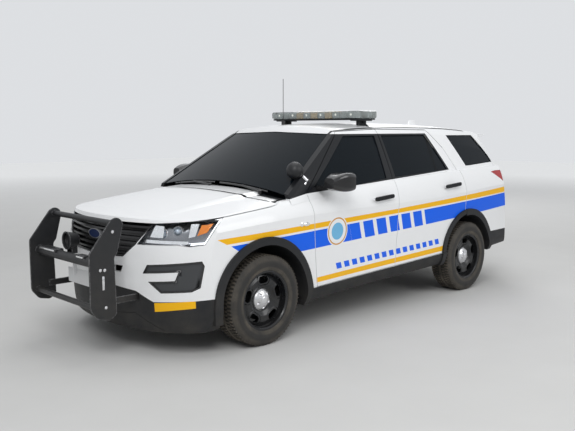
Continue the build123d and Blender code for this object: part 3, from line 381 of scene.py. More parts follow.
def livery_group():
    """Side stripes, slanted blocks and round badge, as colours laid on the body colour."""
    tree, g, given, result = new_group(
        "Side livery",
        [
            ("White", COLOUR, (0.8, 0.8, 0.8)),
            ("Yellow", COLOUR, (0.8, 0.5, 0.0)),
            ("Blue", COLOUR, (0.0, 0.1, 0.7)),
            ("Badge", COLOUR, (0.2, 0.5, 0.8)),
            ("Gold", COLOUR, (0.6, 0.3, 0.1)),
            ("Band height", NUMBER, 0.149),
            ("Badge radius", NUMBER, 0.118),
        ],
        [("Color", COLOUR), ("Vinyl", NUMBER)],
    )
    reach, out, z = g.place()
    side = g.both(g.above(out, SIDE_OUT), g.above(g.facing()[2], SIDE_TURN, 0.1))

    def stripe(low, top):
        return g.both(side, g.within(z, low, top))

    def behind(front, height, slant):
        return g.below(reach, g.math("MULTIPLY_ADD", g.math("SUBTRACT", z, height), slant, front))

    upper = g.both(stripe(g.bent(reach, *UPPER_LOW), g.bent(reach, *UPPER_TOP)), behind(*UPPER_FRONT))
    band_top = g.bent(reach, *BAND_TOP)
    band = g.both(stripe(g.math("SUBTRACT", band_top, given["Band height"]), band_top), behind(*BAND_FRONT))
    slanted = g.math("MULTIPLY_ADD", g.math("SUBTRACT", z, SLANT_HEIGHT), SLANT, reach)
    phase = g.math("FRACT", g.math("DIVIDE", g.math("SUBTRACT", slanted, GAP_SPAN[0]), GAP_PITCH))
    gaps = g.both(g.within(slanted, *GAP_SPAN), g.below(phase, GAP_SHARE, 0.01))
    band = g.both(band, g.math("SUBTRACT", 1.0, gaps))
    lower_top = g.line(reach, *LOWER_TOP)
    lower = stripe(g.line(reach, *LOWER_LOW), lower_top)
    lower = g.both(lower, behind(*LOWER_FRONT), g.above(reach, LOWER_REAR))
    dash = g.math("FRACT", g.math("DIVIDE", slanted, DASH_PITCH))
    dashes = stripe(*(g.math("ADD", lower_top, rise) for rise in DASH_RISE))
    dashes = g.both(dashes, g.within(slanted, *DASH_SPAN), g.above(dash, DASH_SHARE, 0.02))
    away = g.distance(g.math("SUBTRACT", reach, BADGE_MIDDLE[0]), g.math("SUBTRACT", z, BADGE_MIDDLE[1]))
    layers = [(upper, "Yellow"), (band, "Blue"), (lower, "Yellow"), (dashes, "Blue")]
    for share, laid in BADGE_DISCS:
        layers.append((g.both(side, g.below(away, g.math("MULTIPLY", given["Badge radius"], share))), laid))
    colour, vinyl = given["White"], 0.0
    for mask, laid in layers:
        colour = g.mix(mask, colour, given[laid])
        vinyl = g.math("MAXIMUM", vinyl, mask)
    g.put(result["Color"], colour)
    g.put(result["Vinyl"], vinyl)
    return tree


# Door handles: dx and height of their middles, how far out they lie, half-length and half-height
HANDLES = ((-1.418, 1.078), (-2.524, 1.130))
HANDLE_OUT = 0.979
HANDLE_HALF = (0.15, 0.035)
# Black strips on the roof: inner edge, least height, and dx of their ends
ROOF_STRIP_Y = 0.632
ROOF_STRIP_Z = 1.645
ROOF_STRIP_SPAN = (-3.20, -0.98)
# Black round the side windows: points (dx, height) of its lower edge, its top, and its front and slanted rear ends
BELT = ((-0.10, 1.100), (-0.50, 1.165), (-2.60, 1.277))
WINDOW_TOP = 1.648
WINDOW_FRONT = -0.215
WINDOW_REAR = -2.41
WINDOW_SLANT = 0.5795


def trim_group():
    """Where the painted body is black: window surrounds, pillars, roof strips and door handles."""
    tree, g, given, result = new_group("Black trim", [("Strip", NUMBER, 0.026)], [("Mask", NUMBER)])
    reach, out, z = g.place()
    belt = g.math("MINIMUM", g.line(reach, *BELT[:2]), g.line(reach, *BELT[1:]))
    rear = g.math("MULTIPLY_ADD", z, WINDOW_SLANT, WINDOW_REAR - WINDOW_TOP * WINDOW_SLANT)
    surround = g.both(g.above(out, SIDE_OUT), g.within(z, belt, WINDOW_TOP), g.within(reach, rear, WINDOW_FRONT))
    strip_edge = g.math("ADD", given["Strip"], ROOF_STRIP_Y)
    strip = g.both(
        g.within(out, ROOF_STRIP_Y, strip_edge), g.above(z, ROOF_STRIP_Z), g.within(reach, *ROOF_STRIP_SPAN)
    )
    mask = g.math("MAXIMUM", surround, strip)
    for middle, height in HANDLES:
        along, up = (g.below(g.gap(*pair), half) for pair, half in zip(((reach, middle), (z, height)), HANDLE_HALF))
        mask = g.math("MAXIMUM", mask, g.both(g.above(out, HANDLE_OUT), along, up))
    g.put(result["Mask"], mask)
    return tree


# The liftgate lies behind and below the first place, the roof behind and above the second (dx, height)
GATE_PLACE = (-3.0, 1.60)
ROOF_PLACE = (-0.60, 1.50)


def lining_group():
    """Where the painted shells are lined: the inner faces of the sides and liftgate, and the roof's underside."""
    tree, g, given, result = new_group(
        "Lining", [("Least turn", NUMBER, 0.35)], [("Mask", NUMBER), ("Roof", NUMBER)]
    )
    reach, z = g.place()[::2]
    forward, upward, outward = g.facing()
    sides, gate, under = (
        g.above(turn, given["Least turn"], 0.1)
        for turn in (g.math("MULTIPLY", outward, -1.0), forward, g.math("MULTIPLY", upward, -1.0))
    )
    gate = g.both(gate, g.below(reach, GATE_PLACE[0]), g.below(z, GATE_PLACE[1]))
    g.put(result["Mask"], g.math("MAXIMUM", sides, gate))
    g.put(result["Roof"], g.both(under, g.below(reach, ROOF_PLACE[0]), g.above(z, ROOF_PLACE[1])))
    return tree


EFFECT_MAKERS = {
    "dust": dust_group,
    "grain": grain_group,
    "wear_and_highlight": wear_and_highlight_group,
    "livery": livery_group,
    "trim": trim_group,
    "lining": lining_group,
}
EFFECTS = {}


def shaded(name, colour, roughness, **settings):
    """A material with its Principled shader set, and a Graph of it."""
    material = bpy.data.materials.new(name)
    material.use_nodes = True
    graph = Graph(material.node_tree)
    graph.feed(Base_Color=colour, Roughness=roughness, **settings)
    return material, graph


WINDOW_BLACK = (0.010, 0.011, 0.013)
LINING_GREY = (0.035, 0.035, 0.038)
HEADLINER = (0.30, 0.29, 0.27)


def car_paint():
    """White gloss paint with the side livery, black trim, a clear coat and road dust low down."""
    material, g = shaded(
        "White paint", paint().white, 0.32, Coat_Weight=0.6, Coat_Roughness=0.04, Specular_IOR_Level=0.25
    )
    colours = {name: getattr(paint(), name.lower()) for name in ("White", "Yellow", "Blue", "Badge", "Gold")}
    livery = g.effect("livery", Band_height=sizes().band_height, Badge_radius=sizes().badge_radius, **colours)
    black = g.effect("trim", Strip=0.026)["Mask"]
    lined = g.effect("lining")
    dust = g.effect("dust", Amount=paint().dust, Top=0.95)
    outside = g.mix(black, livery["Color"], WINDOW_BLACK)
    finished = g.mix(lined["Roof"], g.mix(lined["Mask"], outside, LINING_GREY), HEADLINER)
    g.feed(Base_Color=g.mix(dust["Mask"], finished, dust["Colour"]))
    inner = g.math("MAXIMUM", lined["Mask"], lined["Roof"])
    rough = g.math("MULTIPLY_ADD", inner, 0.4, 0.28)
    g.feed(Roughness=g.math("MULTIPLY_ADD", dust["Mask"], 0.9, rough, clamp=True))
    plain = g.math("SUBTRACT", 1.0, g.math("MAXIMUM", g.math("MAXIMUM", black, inner), livery["Vinyl"]))
    clean = g.math("MULTIPLY_ADD", dust["Mask"], -1.6, 0.5, clamp=True)
    g.feed(Coat_Weight=g.math("MULTIPLY", clean, plain))
    g.bump(g.math("MULTIPLY", g.noise(420.0, 2.0), 0.00002), 1.0, 1.0)
    return material


def moulded_plastic(name="Moulded plastic", colour=(0.013, 0.014, 0.016), roughness=0.55, dust=0.22):
    """Grained dark plastic with dust low down."""
    material, g = shaded(name, colour, roughness, Specular_IOR_Level=0.3)
    grain = g.effect("grain", Scale=1100.0, Roughness=roughness)
    film = g.effect("dust", Amount=dust, Top=0.85)
    g.feed(Base_Color=g.mix(film["Mask"], colour, film["Colour"]))
    g.feed(Roughness=grain["Roughness"])
    g.bump(grain["Height"], 0.25)
    return material


def gloss_black():
    """Smooth black trim."""
    material, g = shaded("Gloss black", BLACK, 0.18, Coat_Weight=0.4)
    grain = g.effect("grain", Scale=300.0, Roughness=0.2, Spread=0.1)
    g.feed(Roughness=grain["Roughness"])
    return material


# Oval plate in the grille: least dx, its middle's height, half-width, half-height and the share inside its ring
OVAL_DX = 0.905
OVAL_HEIGHT = 0.889
OVAL_HALF = (0.093, 0.038)
OVAL_FIELD = 0.84


def grille_black():
    """Black grille with a bare oval plate ringed in chrome."""
    material, g = shaded("Grille", BLACK, 0.28)
    x, y, z = g.position()
    up = g.math("DIVIDE", g.math("SUBTRACT", z, OVAL_HEIGHT), OVAL_HALF[1])
    away = g.distance(g.math("DIVIDE", y, OVAL_HALF[0]), up)
    front = g.above(x, at(OVAL_DX))
    plate, field = (g.both(front, g.below(away, share, 0.02)) for share in (0.99, OVAL_FIELD))
    colour = g.mix(field, g.mix(plate, BLACK, (0.62, 0.63, 0.65)), (0.006, 0.02, 0.085))
    g.feed(Base_Color=colour)
    g.feed(Metallic=g.math("SUBTRACT", plate, field, clamp=True))
    grain = g.effect("grain", Scale=500.0, Roughness=0.3, Spread=0.12)
    g.feed(Roughness=grain["Roughness"])
    return material


TINT = (0.010, 0.020, 0.030)
# Bar across the rear door's pane: dx of its edges, and how far out the pane lies at least
DIVIDER = (-2.412, -2.388)
DIVIDER_OUT = 0.66


def tinted_glass():
    """Dark tinted glass, with a black bar across the rear door's pane."""
    material, g = shaded(
        "Tinted glass", TINT, 0.0, Transmission_Weight=0.7, IOR=1.25, Specular_IOR_Level=0.10
    )
    reach, out = g.place()[:2]
    bar = g.both(g.above(out, DIVIDER_OUT), g.within(reach, *DIVIDER))
    g.feed(Base_Color=g.mix(bar, TINT, (0.0, 0.0, 0.0)))
    g.feed(Roughness=g.spread(3.0, 0.05, -0.012, 4.0))
    return material


def clear_lens():
    """Clear lamp glass."""
    return shaded("Clear lens", (0.93, 0.95, 0.97), 0.02, Transmission_Weight=1.0, IOR=1.18)[0]


RIB_HALF_PITCH = 0.006


def red_lens():
    """Red lamp plastic with moulded ribs."""
    material, g = shaded(
        "Red lens", (0.42, 0.006, 0.008), 0.12, Coat_Weight=0.2, Specular_IOR_Level=0.25
    )
    ribs = g.math("PINGPONG", g.position()[2], RIB_HALF_PITCH)
    g.feed(Base_Color=g.mix(g.noise(14.0), (0.50, 0.006, 0.008), (0.24, 0.004, 0.006)))
    g.bump(g.math("MULTIPLY", ribs, 100.0), 0.3)
    return material


def from_axle(g):
    """Distance from the nearer wheel's axle line, seen from the side."""
    x, z = g.position()[::2]
    along = g.math("MINIMUM", g.gap(x, FRONT_AXLE.x), g.gap(x, REAR_AXLE.x))
    return g.distance(along, g.math("SUBTRACT", z, TYRE_RADIUS))


RUBBER = (0.016, 0.016, 0.016)
BEAD_RADIUS = 0.262
SHOULDER = (0.305, 0.349)


def tyre_rubber():
    """Dark rubber with moulded rings, with road dust on the tread blocks and in two rings of the side wall."""
    material, g = shaded("Tyre rubber", RUBBER, 0.78)
    away = from_axle(g)
    fine = g.spread(300.0, 1.5, -0.2)
    patches = g.spread(9.0, 1.6, -0.3)
    blocks = g.math("MULTIPLY", g.above(away, TYRE_RADIUS - 0.003), 0.95)
    bead = g.math("MULTIPLY", g.below(away, BEAD_RADIUS, 0.012), 0.5)
    shoulder = g.both(g.above(away, SHOULDER[0], 0.02), g.below(away, SHOULDER[1], 0.01), 0.35)
    film = g.both(fine, patches, g.math("ADD", blocks, g.math("ADD", bead, g.math("ADD", shoulder, 0.12))))
    g.feed(Base_Color=g.mix(film, RUBBER, (0.26, 0.22, 0.165)))
    rings = g.math("MULTIPLY", g.math("PINGPONG", away, 0.0035), 0.25)
    g.bump(g.math("ADD", rings, g.math("MULTIPLY", g.noise(700.0), 0.0002)), 0.9, 1.0)
    return material


# Vents round the wheel: how many, how far out their middles lie, half-length, and the lip round each
VENTS = 5
VENT_REACH = 0.162
VENT_REST = 0.020
LIP_EDGE = 0.039
LIP_WIDTH = 0.008
LIP_RISE = 0.005
# How far outboard of the wheel's middle plane its dished face and its cap lie at least, and the cap's radius
DISH_OUT = 0.03
CAP_OUT = 0.045
CAP_RADIUS = 0.0845
WHEEL_BLACK = (0.006, 0.007, 0.009)


def vent_lips(g):
    """Height of the pressed lips round the wheel's vents, in metres."""
    x, y, z = g.position()
    rise = g.math("SUBTRACT", z, TYRE_RADIUS)
    front = g.above(x, (FRONT_AXLE.x + REAR_AXLE.x) / 2)
    along = g.math("SUBTRACT", x, g.math("MULTIPLY_ADD", front, FRONT_AXLE.x - REAR_AXLE.x, REAR_AXLE.x))
    turn = g.math("SUBTRACT", g.math("ARCTAN2", rise, along), math.pi / 2)
    turn = g.math("WRAP", turn, math.pi / VENTS, -math.pi / VENTS)
    away = from_axle(g)
    across = g.math("ABSOLUTE", g.math("MULTIPLY", away, g.math("SINE", turn)))
    across = g.math("MAXIMUM", g.math("SUBTRACT", across, VENT_REST), 0.0)
    up = g.math("SUBTRACT", g.math("MULTIPLY", away, g.math("COSINE", turn)), VENT_REACH)
    outboard = g.above(g.math("ABSOLUTE", y), FRONT_AXLE.y + DISH_OUT)
    return g.both(outboard, g.below(g.distance(across, up), LIP_EDGE, LIP_WIDTH), LIP_RISE)


def wheel_finish():
    """Black steel wheel with pressed lips and a bright cap in the middle."""
    material, g = shaded("Wheel steel", WHEEL_BLACK, 0.26)
    outboard = g.above(g.place()[1], FRONT_AXLE.y + CAP_OUT)
    cap = g.both(outboard, g.below(from_axle(g), CAP_RADIUS))
    dust = g.effect("dust", Amount=0.07, Top=1.4)
    dark = g.mix(dust["Mask"], WHEEL_BLACK, dust["Colour"])
    g.feed(Base_Color=g.mix(cap, dark, (0.66, 0.66, 0.67)))
    g.feed(Metallic=cap)
    g.feed(Roughness=g.spread(30.0, 0.2, 0.14))
    g.bump(vent_lips(g), 1.0, 1.0)
    return material


# The front bumper's corners, and on each a reflecting patch: (y, top) at its two ends, then both lower heights
CORNER_DX = 0.40
PATCH = ((0.615, 0.417), (0.861, 0.442), (0.350, 0.387))
# Upper edge of the bumper's lower lip: points (y, height), how far out it goes, and how deep it is set
SKID_EDGE = ((0.227, 0.296), (0.449, 0.320), (0.592, 0.244))
SKID_OUT = 0.66
SKID_STEP = 0.010


def valance_plastic():
    """Bumper plastic with a yellow reflecting patch on each corner."""
    material = moulded_plastic("Valance plastic", dust=0.22)
    g = Graph(material.node_tree)
    reach, out, z = g.place()
    front = g.above(reach, CORNER_DX)
    (inner, inner_top), (outer, outer_top), (inner_low, outer_low) = PATCH
    top = g.line(out, (inner, inner_top), (outer, outer_top))
    low = g.line(out, (inner, inner_low), (outer, outer_low))
    patch = g.both(g.within(out, inner, outer), g.within(z, low, top), front)
    under = g.shader.inputs["Base Color"].links[0].from_socket
    g.feed(Base_Color=g.mix(patch, under, paint().yellow))
    edge = g.math("MINIMUM", g.line(out, *SKID_EDGE[:2]), g.line(out, *SKID_EDGE[1:]))
    lower = g.both(g.below(z, edge, 0.008), g.below(out, SKID_OUT), front)
    grain = g.shader.inputs["Normal"].links[0].from_node.inputs["Height"].links[0].from_socket
    height = g.math("ADD", g.math("MULTIPLY", lower, -SKID_STEP), g.math("MULTIPLY", grain, 0.0001))
    g.bump(height, 1.0, 1.0)
    return material


def guard_metal():
    """Satin black powder coat with lighter grey edges: partly rubbed bare metal, partly a painted highlight along
    the edges.
    """
    colour = (0.016, 0.017, 0.019)
    material, g = shaded("Powder coat", colour, 0.42, Specular_IOR_Level=0.35)
    # Light grey along every edge: partly real wear, partly a painted highlight where light would catch the rounded
    # edges.
    wear_and_highlight = g.effect("wear_and_highlight", Width=0.010, Amount=0.9)
    dust = g.effect("dust", Amount=0.25, Top=1.1)
    under = g.mix(dust["Mask"], colour, dust["Colour"])
    g.feed(Base_Color=g.mix(wear_and_highlight["Mask"], under, (0.34, 0.34, 0.35)))
    grain = g.effect("grain", Scale=1500.0, Roughness=0.42)
    g.feed(Roughness=grain["Roughness"])
    g.bump(grain["Height"], 0.18)
    return material


def bright_metal():
    """Polished chrome with faint haze."""
    material, g = shaded("Chrome", (0.75, 0.75, 0.77), 0.1, Metallic=1.0)
    g.feed(Roughness=g.spread(20.0, 0.12, 0.04))
    return material


def cast_metal():
    """Grey cast iron and bare steel under the car."""
    colour = (0.16, 0.155, 0.15)
    material, g = shaded("Cast metal", colour, 0.6, Metallic=0.7)
    g.feed(Base_Color=g.mix(g.spread(16.0, 3.0, -1.5), colour, (0.15, 0.085, 0.05)))
    g.bump(g.noise(260.0), 0.4)
    return material


def seat_cloth():
    """Dark woven seat cloth."""
    material, g = shaded("Seat cloth", (0.035, 0.036, 0.04), 0.85, Sheen_Weight=0.3)
    settings = {"Vector": g.node("ShaderNodeTexCoord").outputs["Object"], "Scale": 420.0}
    weave = g.fill(g.node("ShaderNodeTexChecker"), settings).outputs["Fac"]
    g.feed(Base_Color=g.mix(weave, (0.028, 0.029, 0.032), (0.05, 0.051, 0.056)))
    g.bump(weave, 0.4)
    return material


def plate_white():
    """Blank white enamel plate."""
    colour = (0.72, 0.73, 0.74)
    material, g = shaded("Plate enamel", colour, 0.35)
    dust = g.effect("dust", Amount=0.5, Top=1.2)
    g.feed(Base_Color=g.mix(dust["Mask"], colour, dust["Colour"]))
    return material


def bar_lens():
    """Cloudy clear lens of the roof light bar."""
    material, g = shaded("Bar lens", (0.66, 0.70, 0.69), 0.12, Transmission_Weight=0.75, IOR=1.2)
    g.feed(Roughness=g.spread(40.0, 0.2, 0.04))
    return material


WHIP_Y = -0.10


def antenna_paint():
    """Painted fin with a black whip beside it."""
    white = paint().white
    material, g = shaded("Antenna paint", white, 0.3, Coat_Weight=0.4)
    whip = g.below(g.position()[1], WHIP_Y)
    grain = g.mix(g.noise(30.0), white, tuple(part * 0.9 for part in white))
    g.feed(Base_Color=g.mix(whip, grain, BLACK))
    return material


def plain_lamp(name, colour, metallic=0.0, roughness=0.25, glow=0.0):
    """A lamp's inner piece: reflector, bulb or coloured lens."""
    material, g = shaded(name, colour, roughness, Metallic=metallic)
    darker = tuple(part * 0.72 for part in colour)
    g.feed(Base_Color=g.mix(g.noise(55.0), colour, darker))
    if glow:
        g.feed(Emission_Color=colour)
        g.feed(Emission_Strength=glow)
    return material


def finish_materials():
    """Every finish of the car, by the record's slot."""
    return {
        "body_paint": car_paint(),
        "dark_plastic": moulded_plastic(),
        "gloss_trim": gloss_black(),
        "tinted_glass": tinted_glass(),
        "clear_lamp": clear_lens(),
        "red_lamp": red_lens(),
        "tyre": tyre_rubber(),
        "wheel_steel": wheel_finish(),
        "bare_steel": cast_metal(),
        "guard_black": guard_metal(),
        "chrome": bright_metal(),
        "plate_white": plate_white(),
        "interior": moulded_plastic("Cabin plastic", (0.04, 0.04, 0.043), 0.7, 0.0),
        "seat_cloth": seat_cloth(),
        "underbody": moulded_plastic("Underbody paint", (0.03, 0.03, 0.032), 0.6, 0.9),
        "light_bar_lens": bar_lens(),
    }


FINISH = {}


def pick_nothing():
    """Object mode, with nothing selected."""
    active = bpy.context.view_layer.objects.active
    if active is not None and active.mode != "OBJECT":
        bpy.ops.object.mode_set(mode="OBJECT")
    bpy.ops.object.select_all(action="DESELECT")


def pick(*pieces):
    """Only these pieces selected, the first one active."""
    pick_nothing()
    for piece in pieces:
        piece.select_set(True)
    bpy.context.view_layer.objects.active = pieces[0]


def apply_place(piece):
    """The piece's place, turn and size go into its mesh."""
    pick(piece)
    bpy.ops.object.transform_apply(location=True, rotation=True, scale=True)


def copied(piece):
    """A copy with a mesh of its own."""
    pick(piece)
    bpy.ops.object.duplicate(linked=False)
    return bpy.context.active_object


def edit(piece, action="DESELECT"):
    """Edit mode on one piece, with nothing selected in it, or all of it."""
    pick(piece)
    bpy.ops.object.mode_set(mode="EDIT")
    bpy.ops.mesh.select_all(action=action)


def end_edit():
    """Back to object mode."""
    bpy.ops.object.mode_set(mode="OBJECT")


def end_outward():
    """Every face turned outwards, and back to object mode."""
    bpy.ops.mesh.select_all(action="SELECT")
    bpy.ops.mesh.normals_make_consistent(inside=False)
    end_edit()


def select_faces(piece, test):
    """In edit mode, selects the faces whose middle and normal pass a test."""
    bpy.ops.mesh.select_mode(type="FACE")
    mesh = bmesh.from_edit_mesh(piece.data)
    for face in mesh.faces:
        face.select_set(bool(test(face.calc_center_median(), face.normal)))
    mesh.select_flush_mode()
    bmesh.update_edit_mesh(piece.data)


def finish(piece, name, body, slot, finish_name=None, smooth=35):
    """Names a piece, gives it its finish and its body, and settles its mesh."""
    apply_place(piece)
    piece.name = name
    piece.data.name = name
    piece.data.materials.clear()
    piece.data.materials.append(FINISH[finish_name or slot])
    bpy.ops.object.shade_smooth_by_angle(angle=math.radians(smooth))
    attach(piece, body)
    return piece


def block(low, high, rounding=0.0):
    """A block between two corners, with rounded edges."""
    low, high = Vector(low), Vector(high)
    pick_nothing()
    bpy.ops.mesh.primitive_cube_add(size=1.0, location=(low + high) / 2)
    piece = bpy.context.active_object
    piece.scale = high - low
    apply_place(piece)
    if rounding:
        edit(piece, "SELECT")
        bpy.ops.mesh.bevel(offset=rounding, segments=2, affect="EDGES")
        end_edit()
    return piece


def cross_block(middle_x, half, sides, heights, rounding):
    """A block with its middle and half-length along the car, its two sides in any order, and its two heights."""
    right, left = sorted(sides)
    return block((middle_x - half, right, heights[0]), (middle_x + half, left, heights[1]), rounding)


def turned(rings, centre, axis=(0, 1, 0), vertices=48, closed_start=True, closed_end=True):
    """A turned form: rings of (radius, distance along the axis) from its centre."""
    centre, axis = Vector(centre), Vector(axis).normalized()
    turn = Vector((0, 0, 1)).rotation_difference(axis).to_euler()
    pick_nothing()
    first_radius, first_step = rings[0]
    bpy.ops.mesh.primitive_circle_add(
        vertices=vertices,
        radius=first_radius,
        location=centre + axis * first_step,
        rotation=turn,
        fill_type="NGON" if closed_start else "NOTHING",
    )
    piece = bpy.context.active_object
    apply_place(piece)
    edit(piece)
    bpy.ops.mesh.select_mode(type="EDGE")
    bpy.ops.mesh.select_all(action="SELECT")
    for (radius, step), (next_radius, next_step) in zip(rings, rings[1:]):
        bpy.ops.mesh.extrude_edges_move(TRANSFORM_OT_translate={"value": axis * (next_step - step)})
        ratio = next_radius / radius
        bpy.ops.transform.resize(value=(ratio, ratio, ratio), center_override=centre + axis * next_step)
    if closed_end:
        bpy.ops.mesh.edge_face_add()
    end_outward()
    return piece


def joined(pieces):
    """Several pieces made one."""
    pick(*pieces)
    if len(pieces) > 1:
        bpy.ops.object.join()
    return bpy.context.view_layer.objects.active


def mirrored(piece):
    """A copy on the car's other side."""
    copy = copied(piece)
    copy.scale = (1, -1, 1)
    apply_place(copy)
    edit(copy)
    end_outward()
    return copy


def finish_pair(piece, name, slot, finish_name=None):
    """Finishes a piece of the chassis on the car's left, and a copy of it on the right."""
    other = mirrored(piece)
    finish(piece, name + "_left", "chassis", slot, finish_name)
    finish(other, name + "_right", "chassis", slot, finish_name)


def on_surface(node, start, direction=(0, -1, 0)):
    """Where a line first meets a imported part, and the surface's normal there."""
    return NODES[node].ray_cast(Vector(start), Vector(direction))[1:3]


def rod(start, end, radius, vertices=16):
    """A round rod between two points."""
    start, end = Vector(start), Vector(end)
    span = end - start
    soft = min(radius * 0.3, span.length / 4)
    rings = [(radius - soft, 0), (radius, soft), (radius, span.length - soft), (radius - soft, span.length)]
    return turned(rings, start, span, vertices)


class PATROL_OT_finishes(bpy.types.Operator):
    """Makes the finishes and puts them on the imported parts"""

    bl_idname = "patrol.finishes"
    bl_label = "Finishes"

    def execute(self, context):
        FINISH.update(finish_materials())
        own = {"grille": grille_black(), "lower_valance": valance_plastic(), "roof_antennas": antenna_paint()}
        for part in frame["record"]["subparts"]:
            mesh = NODES[part["node"]].data
            mesh.materials.clear()
            mesh.materials.append(own.get(part["node"], FINISH[part["material_slot"]]))
        return {"FINISHED"}


# The tyre's side: rings of (radius, distance from its middle plane), from the rim to the shoulder
TYRE_RINGS = (
    (0.234, 0.098),
    (0.241, 0.112),
    (0.262, 0.1205),
    (0.292, 0.1222),
    (0.300, 0.1228),
    (0.303, 0.1222),
    (0.326, 0.1185),
    (0.340, 0.1105),
)
# Edges of the tread's lanes and grooves, as distances from the middle plane, and how far each lane's blocks shift
TREAD_EDGES = (0.098, 0.060, 0.054, 0.022, 0.016)
TREAD_SKEW = 0.35


class PATROL_OT_tyres(bpy.types.Operator):
    """Road tyres with blocks, grooves and ribbed side walls"""

    bl_idname = "patrol.tyres"
    bl_label = "Tyres"

    def execute(self, context):
        columns, depth = sizes().tread_columns, sizes().tread_depth
        base = TYRE_RADIUS - depth
        pitch = 2 * math.pi / columns
        tread = [(base, offset) for offset in (*TREAD_EDGES, *(-edge for edge in reversed(TREAD_EDGES)))]
        back = [(radius, -offset) for radius, offset in reversed(TYRE_RINGS)]
        centre = Vector((0, 0, TYRE_RADIUS))
        tyre = turned([*TYRE_RINGS, *tread, *back], centre, (0, 1, 0), columns * 2, False, False)
        shoulder, outer_groove, outer_lane, inner_groove, inner_lane = TREAD_EDGES

        def blocks(middle, normal):
            rise = middle - centre
            across = abs(rise.y)
            if rise.xz.length < base - 0.002 or across > shoulder:
                return False
            if outer_lane < across < outer_groove or inner_lane < across < inner_groove:
                return False
            lane = 0 if across > outer_groove else (1 if across > inner_lane else 2)
            angle = math.atan2(rise.z, rise.x) / pitch + lane * TREAD_SKEW
            return angle % 1.0 < 0.5 or lane == 2

        edit(tyre)
        select_faces(tyre, blocks)
        bpy.ops.mesh.extrude_region_shrink_fatten(TRANSFORM_OT_shrink_fatten={"value": depth})
        end_outward()
        for corner in WHEELS:
            spot = wheel_middle(corner)
            copy = copied(tyre)
            copy.location = (spot.x, spot.y, 0)
            finish(copy, "road_tyre_" + corner, "road_wheel_" + corner, "tyre")
            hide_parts("tyre_" + corner)
        bpy.data.objects.remove(tyre)
        return {"FINISHED"}


# Nut covers and hub boss: rings of (radius, distance outwards), and how far out of the wheel's middle they start
NUTS = 5
FIRST_NUT = 54
NUT_CIRCLE = 0.057
NUT_OUT = 0.046
NUT_RINGS = ((0.0115, 0), (0.0115, 0.014), (0.0095, 0.0175), (0.004, 0.0185))
HUB_OUT = 0.080
HUB_RINGS = ((0.030, 0), (0.029, 0.006), (0.024, 0.0085), (0.010, 0.0095))


class PATROL_OT_wheel_nuts(bpy.types.Operator):
    """Nut covers and a raised boss on each wheel cap"""

    bl_idname = "patrol.wheel_nuts"
    bl_label = "Wheel nuts"

    def execute(self, context):
        for corner in WHEELS:
            spot = wheel_middle(corner)
            side = 1 if spot.y > 0 else -1
            outward = (0, side, 0)
            parts = []
            for count in range(NUTS):
                angle = math.radians(FIRST_NUT + 360 / NUTS * count)
                place = Vector((NUT_CIRCLE * math.cos(angle), side * NUT_OUT, NUT_CIRCLE * math.sin(angle)))
                parts.append(turned(NUT_RINGS, spot + place, outward, 12))
            parts.append(turned(HUB_RINGS, spot + Vector((0, side * HUB_OUT, 0)), outward, 24))
            finish(joined(parts), "wheel_nuts_" + corner, "road_wheel_" + corner, "chrome")
        return {"FINISHED"}


LAMP_OUTWARD = Vector((0.72, 0.66, 0.12)).normalized()
# Least share of a lamp's outward direction in the normal of its outer skin
LAMP_FACING = 0.35
CORNER_ACROSS = Vector((-1, 1, 0)).normalized()
CORNER_OUT = Vector((1, 1, 0)).normalized()
# Patches behind the headlight glass, seen at 45 degrees: distance across, height
LIGHT_STRIPS = (
    ((0.240, 0.862), (0.256, 0.860), (0.364, 1.030), (0.350, 1.036)),
    ((0.212, 1.036), (0.350, 1.026), (0.356, 1.038), (0.212, 1.049)),
    ((0.146, 0.852), (0.248, 0.862), (0.246, 0.874), (0.150, 0.864)),
)
AMBER_BLOCK = ((0.190, 0.919), (0.262, 0.944), (0.303, 1.003), (0.224, 0.998))
SILVER_BLOCKS = (
    ((0.128, 0.905), (0.176, 0.915), (0.206, 1.005), (0.146, 1.003)),
    ((-0.205, 0.862), (0.120, 0.858), (0.126, 0.880), (-0.192, 0.886)),
    ((-0.160, 0.905), (-0.060, 0.902), (-0.052, 0.985), (-0.120, 0.990)),
)
# Lamp units in the left headlight: dx, Y, height and radius
LAMP_UNITS = ((0.735, 0.630, 0.925, 0.042), (0.655, 0.715, 0.945, 0.036))
LAMP_AIM = Vector((0.80, 0.60, 0.0)).normalized()
# Their rings and domed lenses: rings of (share of the radius, distance outwards), and the dome's tip in metres
UNIT_RING = ((1.0, -0.030), (1.05, 0.0), (0.96, 0.004), (0.90, -0.004))
UNIT_DOME = ((0.9, -0.01), (0.88, 0.0), (0.7, 0.013), (0.4, 0.021))
UNIT_TIP = (0.004, 0.024)


def merged_copy(node, keep):
    """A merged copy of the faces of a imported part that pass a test."""
    copy = copied(NODES[node])
    copy.parent = None
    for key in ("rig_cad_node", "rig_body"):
        if key in copy:
            del copy[key]
    edit(copy, "SELECT")
    bpy.ops.mesh.remove_doubles(threshold=0.00002)
    bpy.ops.mesh.select_all(action="DESELECT")
    select_faces(copy, lambda middle, normal: not keep(middle, normal))
    bpy.ops.mesh.delete(type="FACE")
    end_edit()
    return copy


def thickened(piece, thickness, offset=-1.0):
    """The piece's surface given a thickness."""
    pick(piece)
    bpy.ops.object.modifier_add(type="SOLIDIFY")
    solid = piece.modifiers[-1]
    solid.thickness = thickness
    solid.offset = offset
    bpy.ops.object.modifier_apply(modifier=solid.name)
    return piece


def face_plate(node, direction, margin, thickness):
    """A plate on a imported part's flat face, a margin inside its edge."""
    piece = merged_copy(node, lambda middle, normal: normal.dot(direction) > 0.95)
    edit(piece, "SELECT")
    bpy.ops.mesh.inset(thickness=margin)
    bpy.ops.mesh.select_all(action="INVERT")
    bpy.ops.mesh.delete(type="FACE")
    end_edit()
    return thickened(piece, thickness, 1.0)


def headlight_skin(outer):
    """The left headlight's outer skin, or the rest of its surface."""
    return merged_copy(
        "headlights", lambda middle, normal: middle.y > 0 and (normal.dot(LAMP_OUTWARD) > LAMP_FACING) is outer
    )


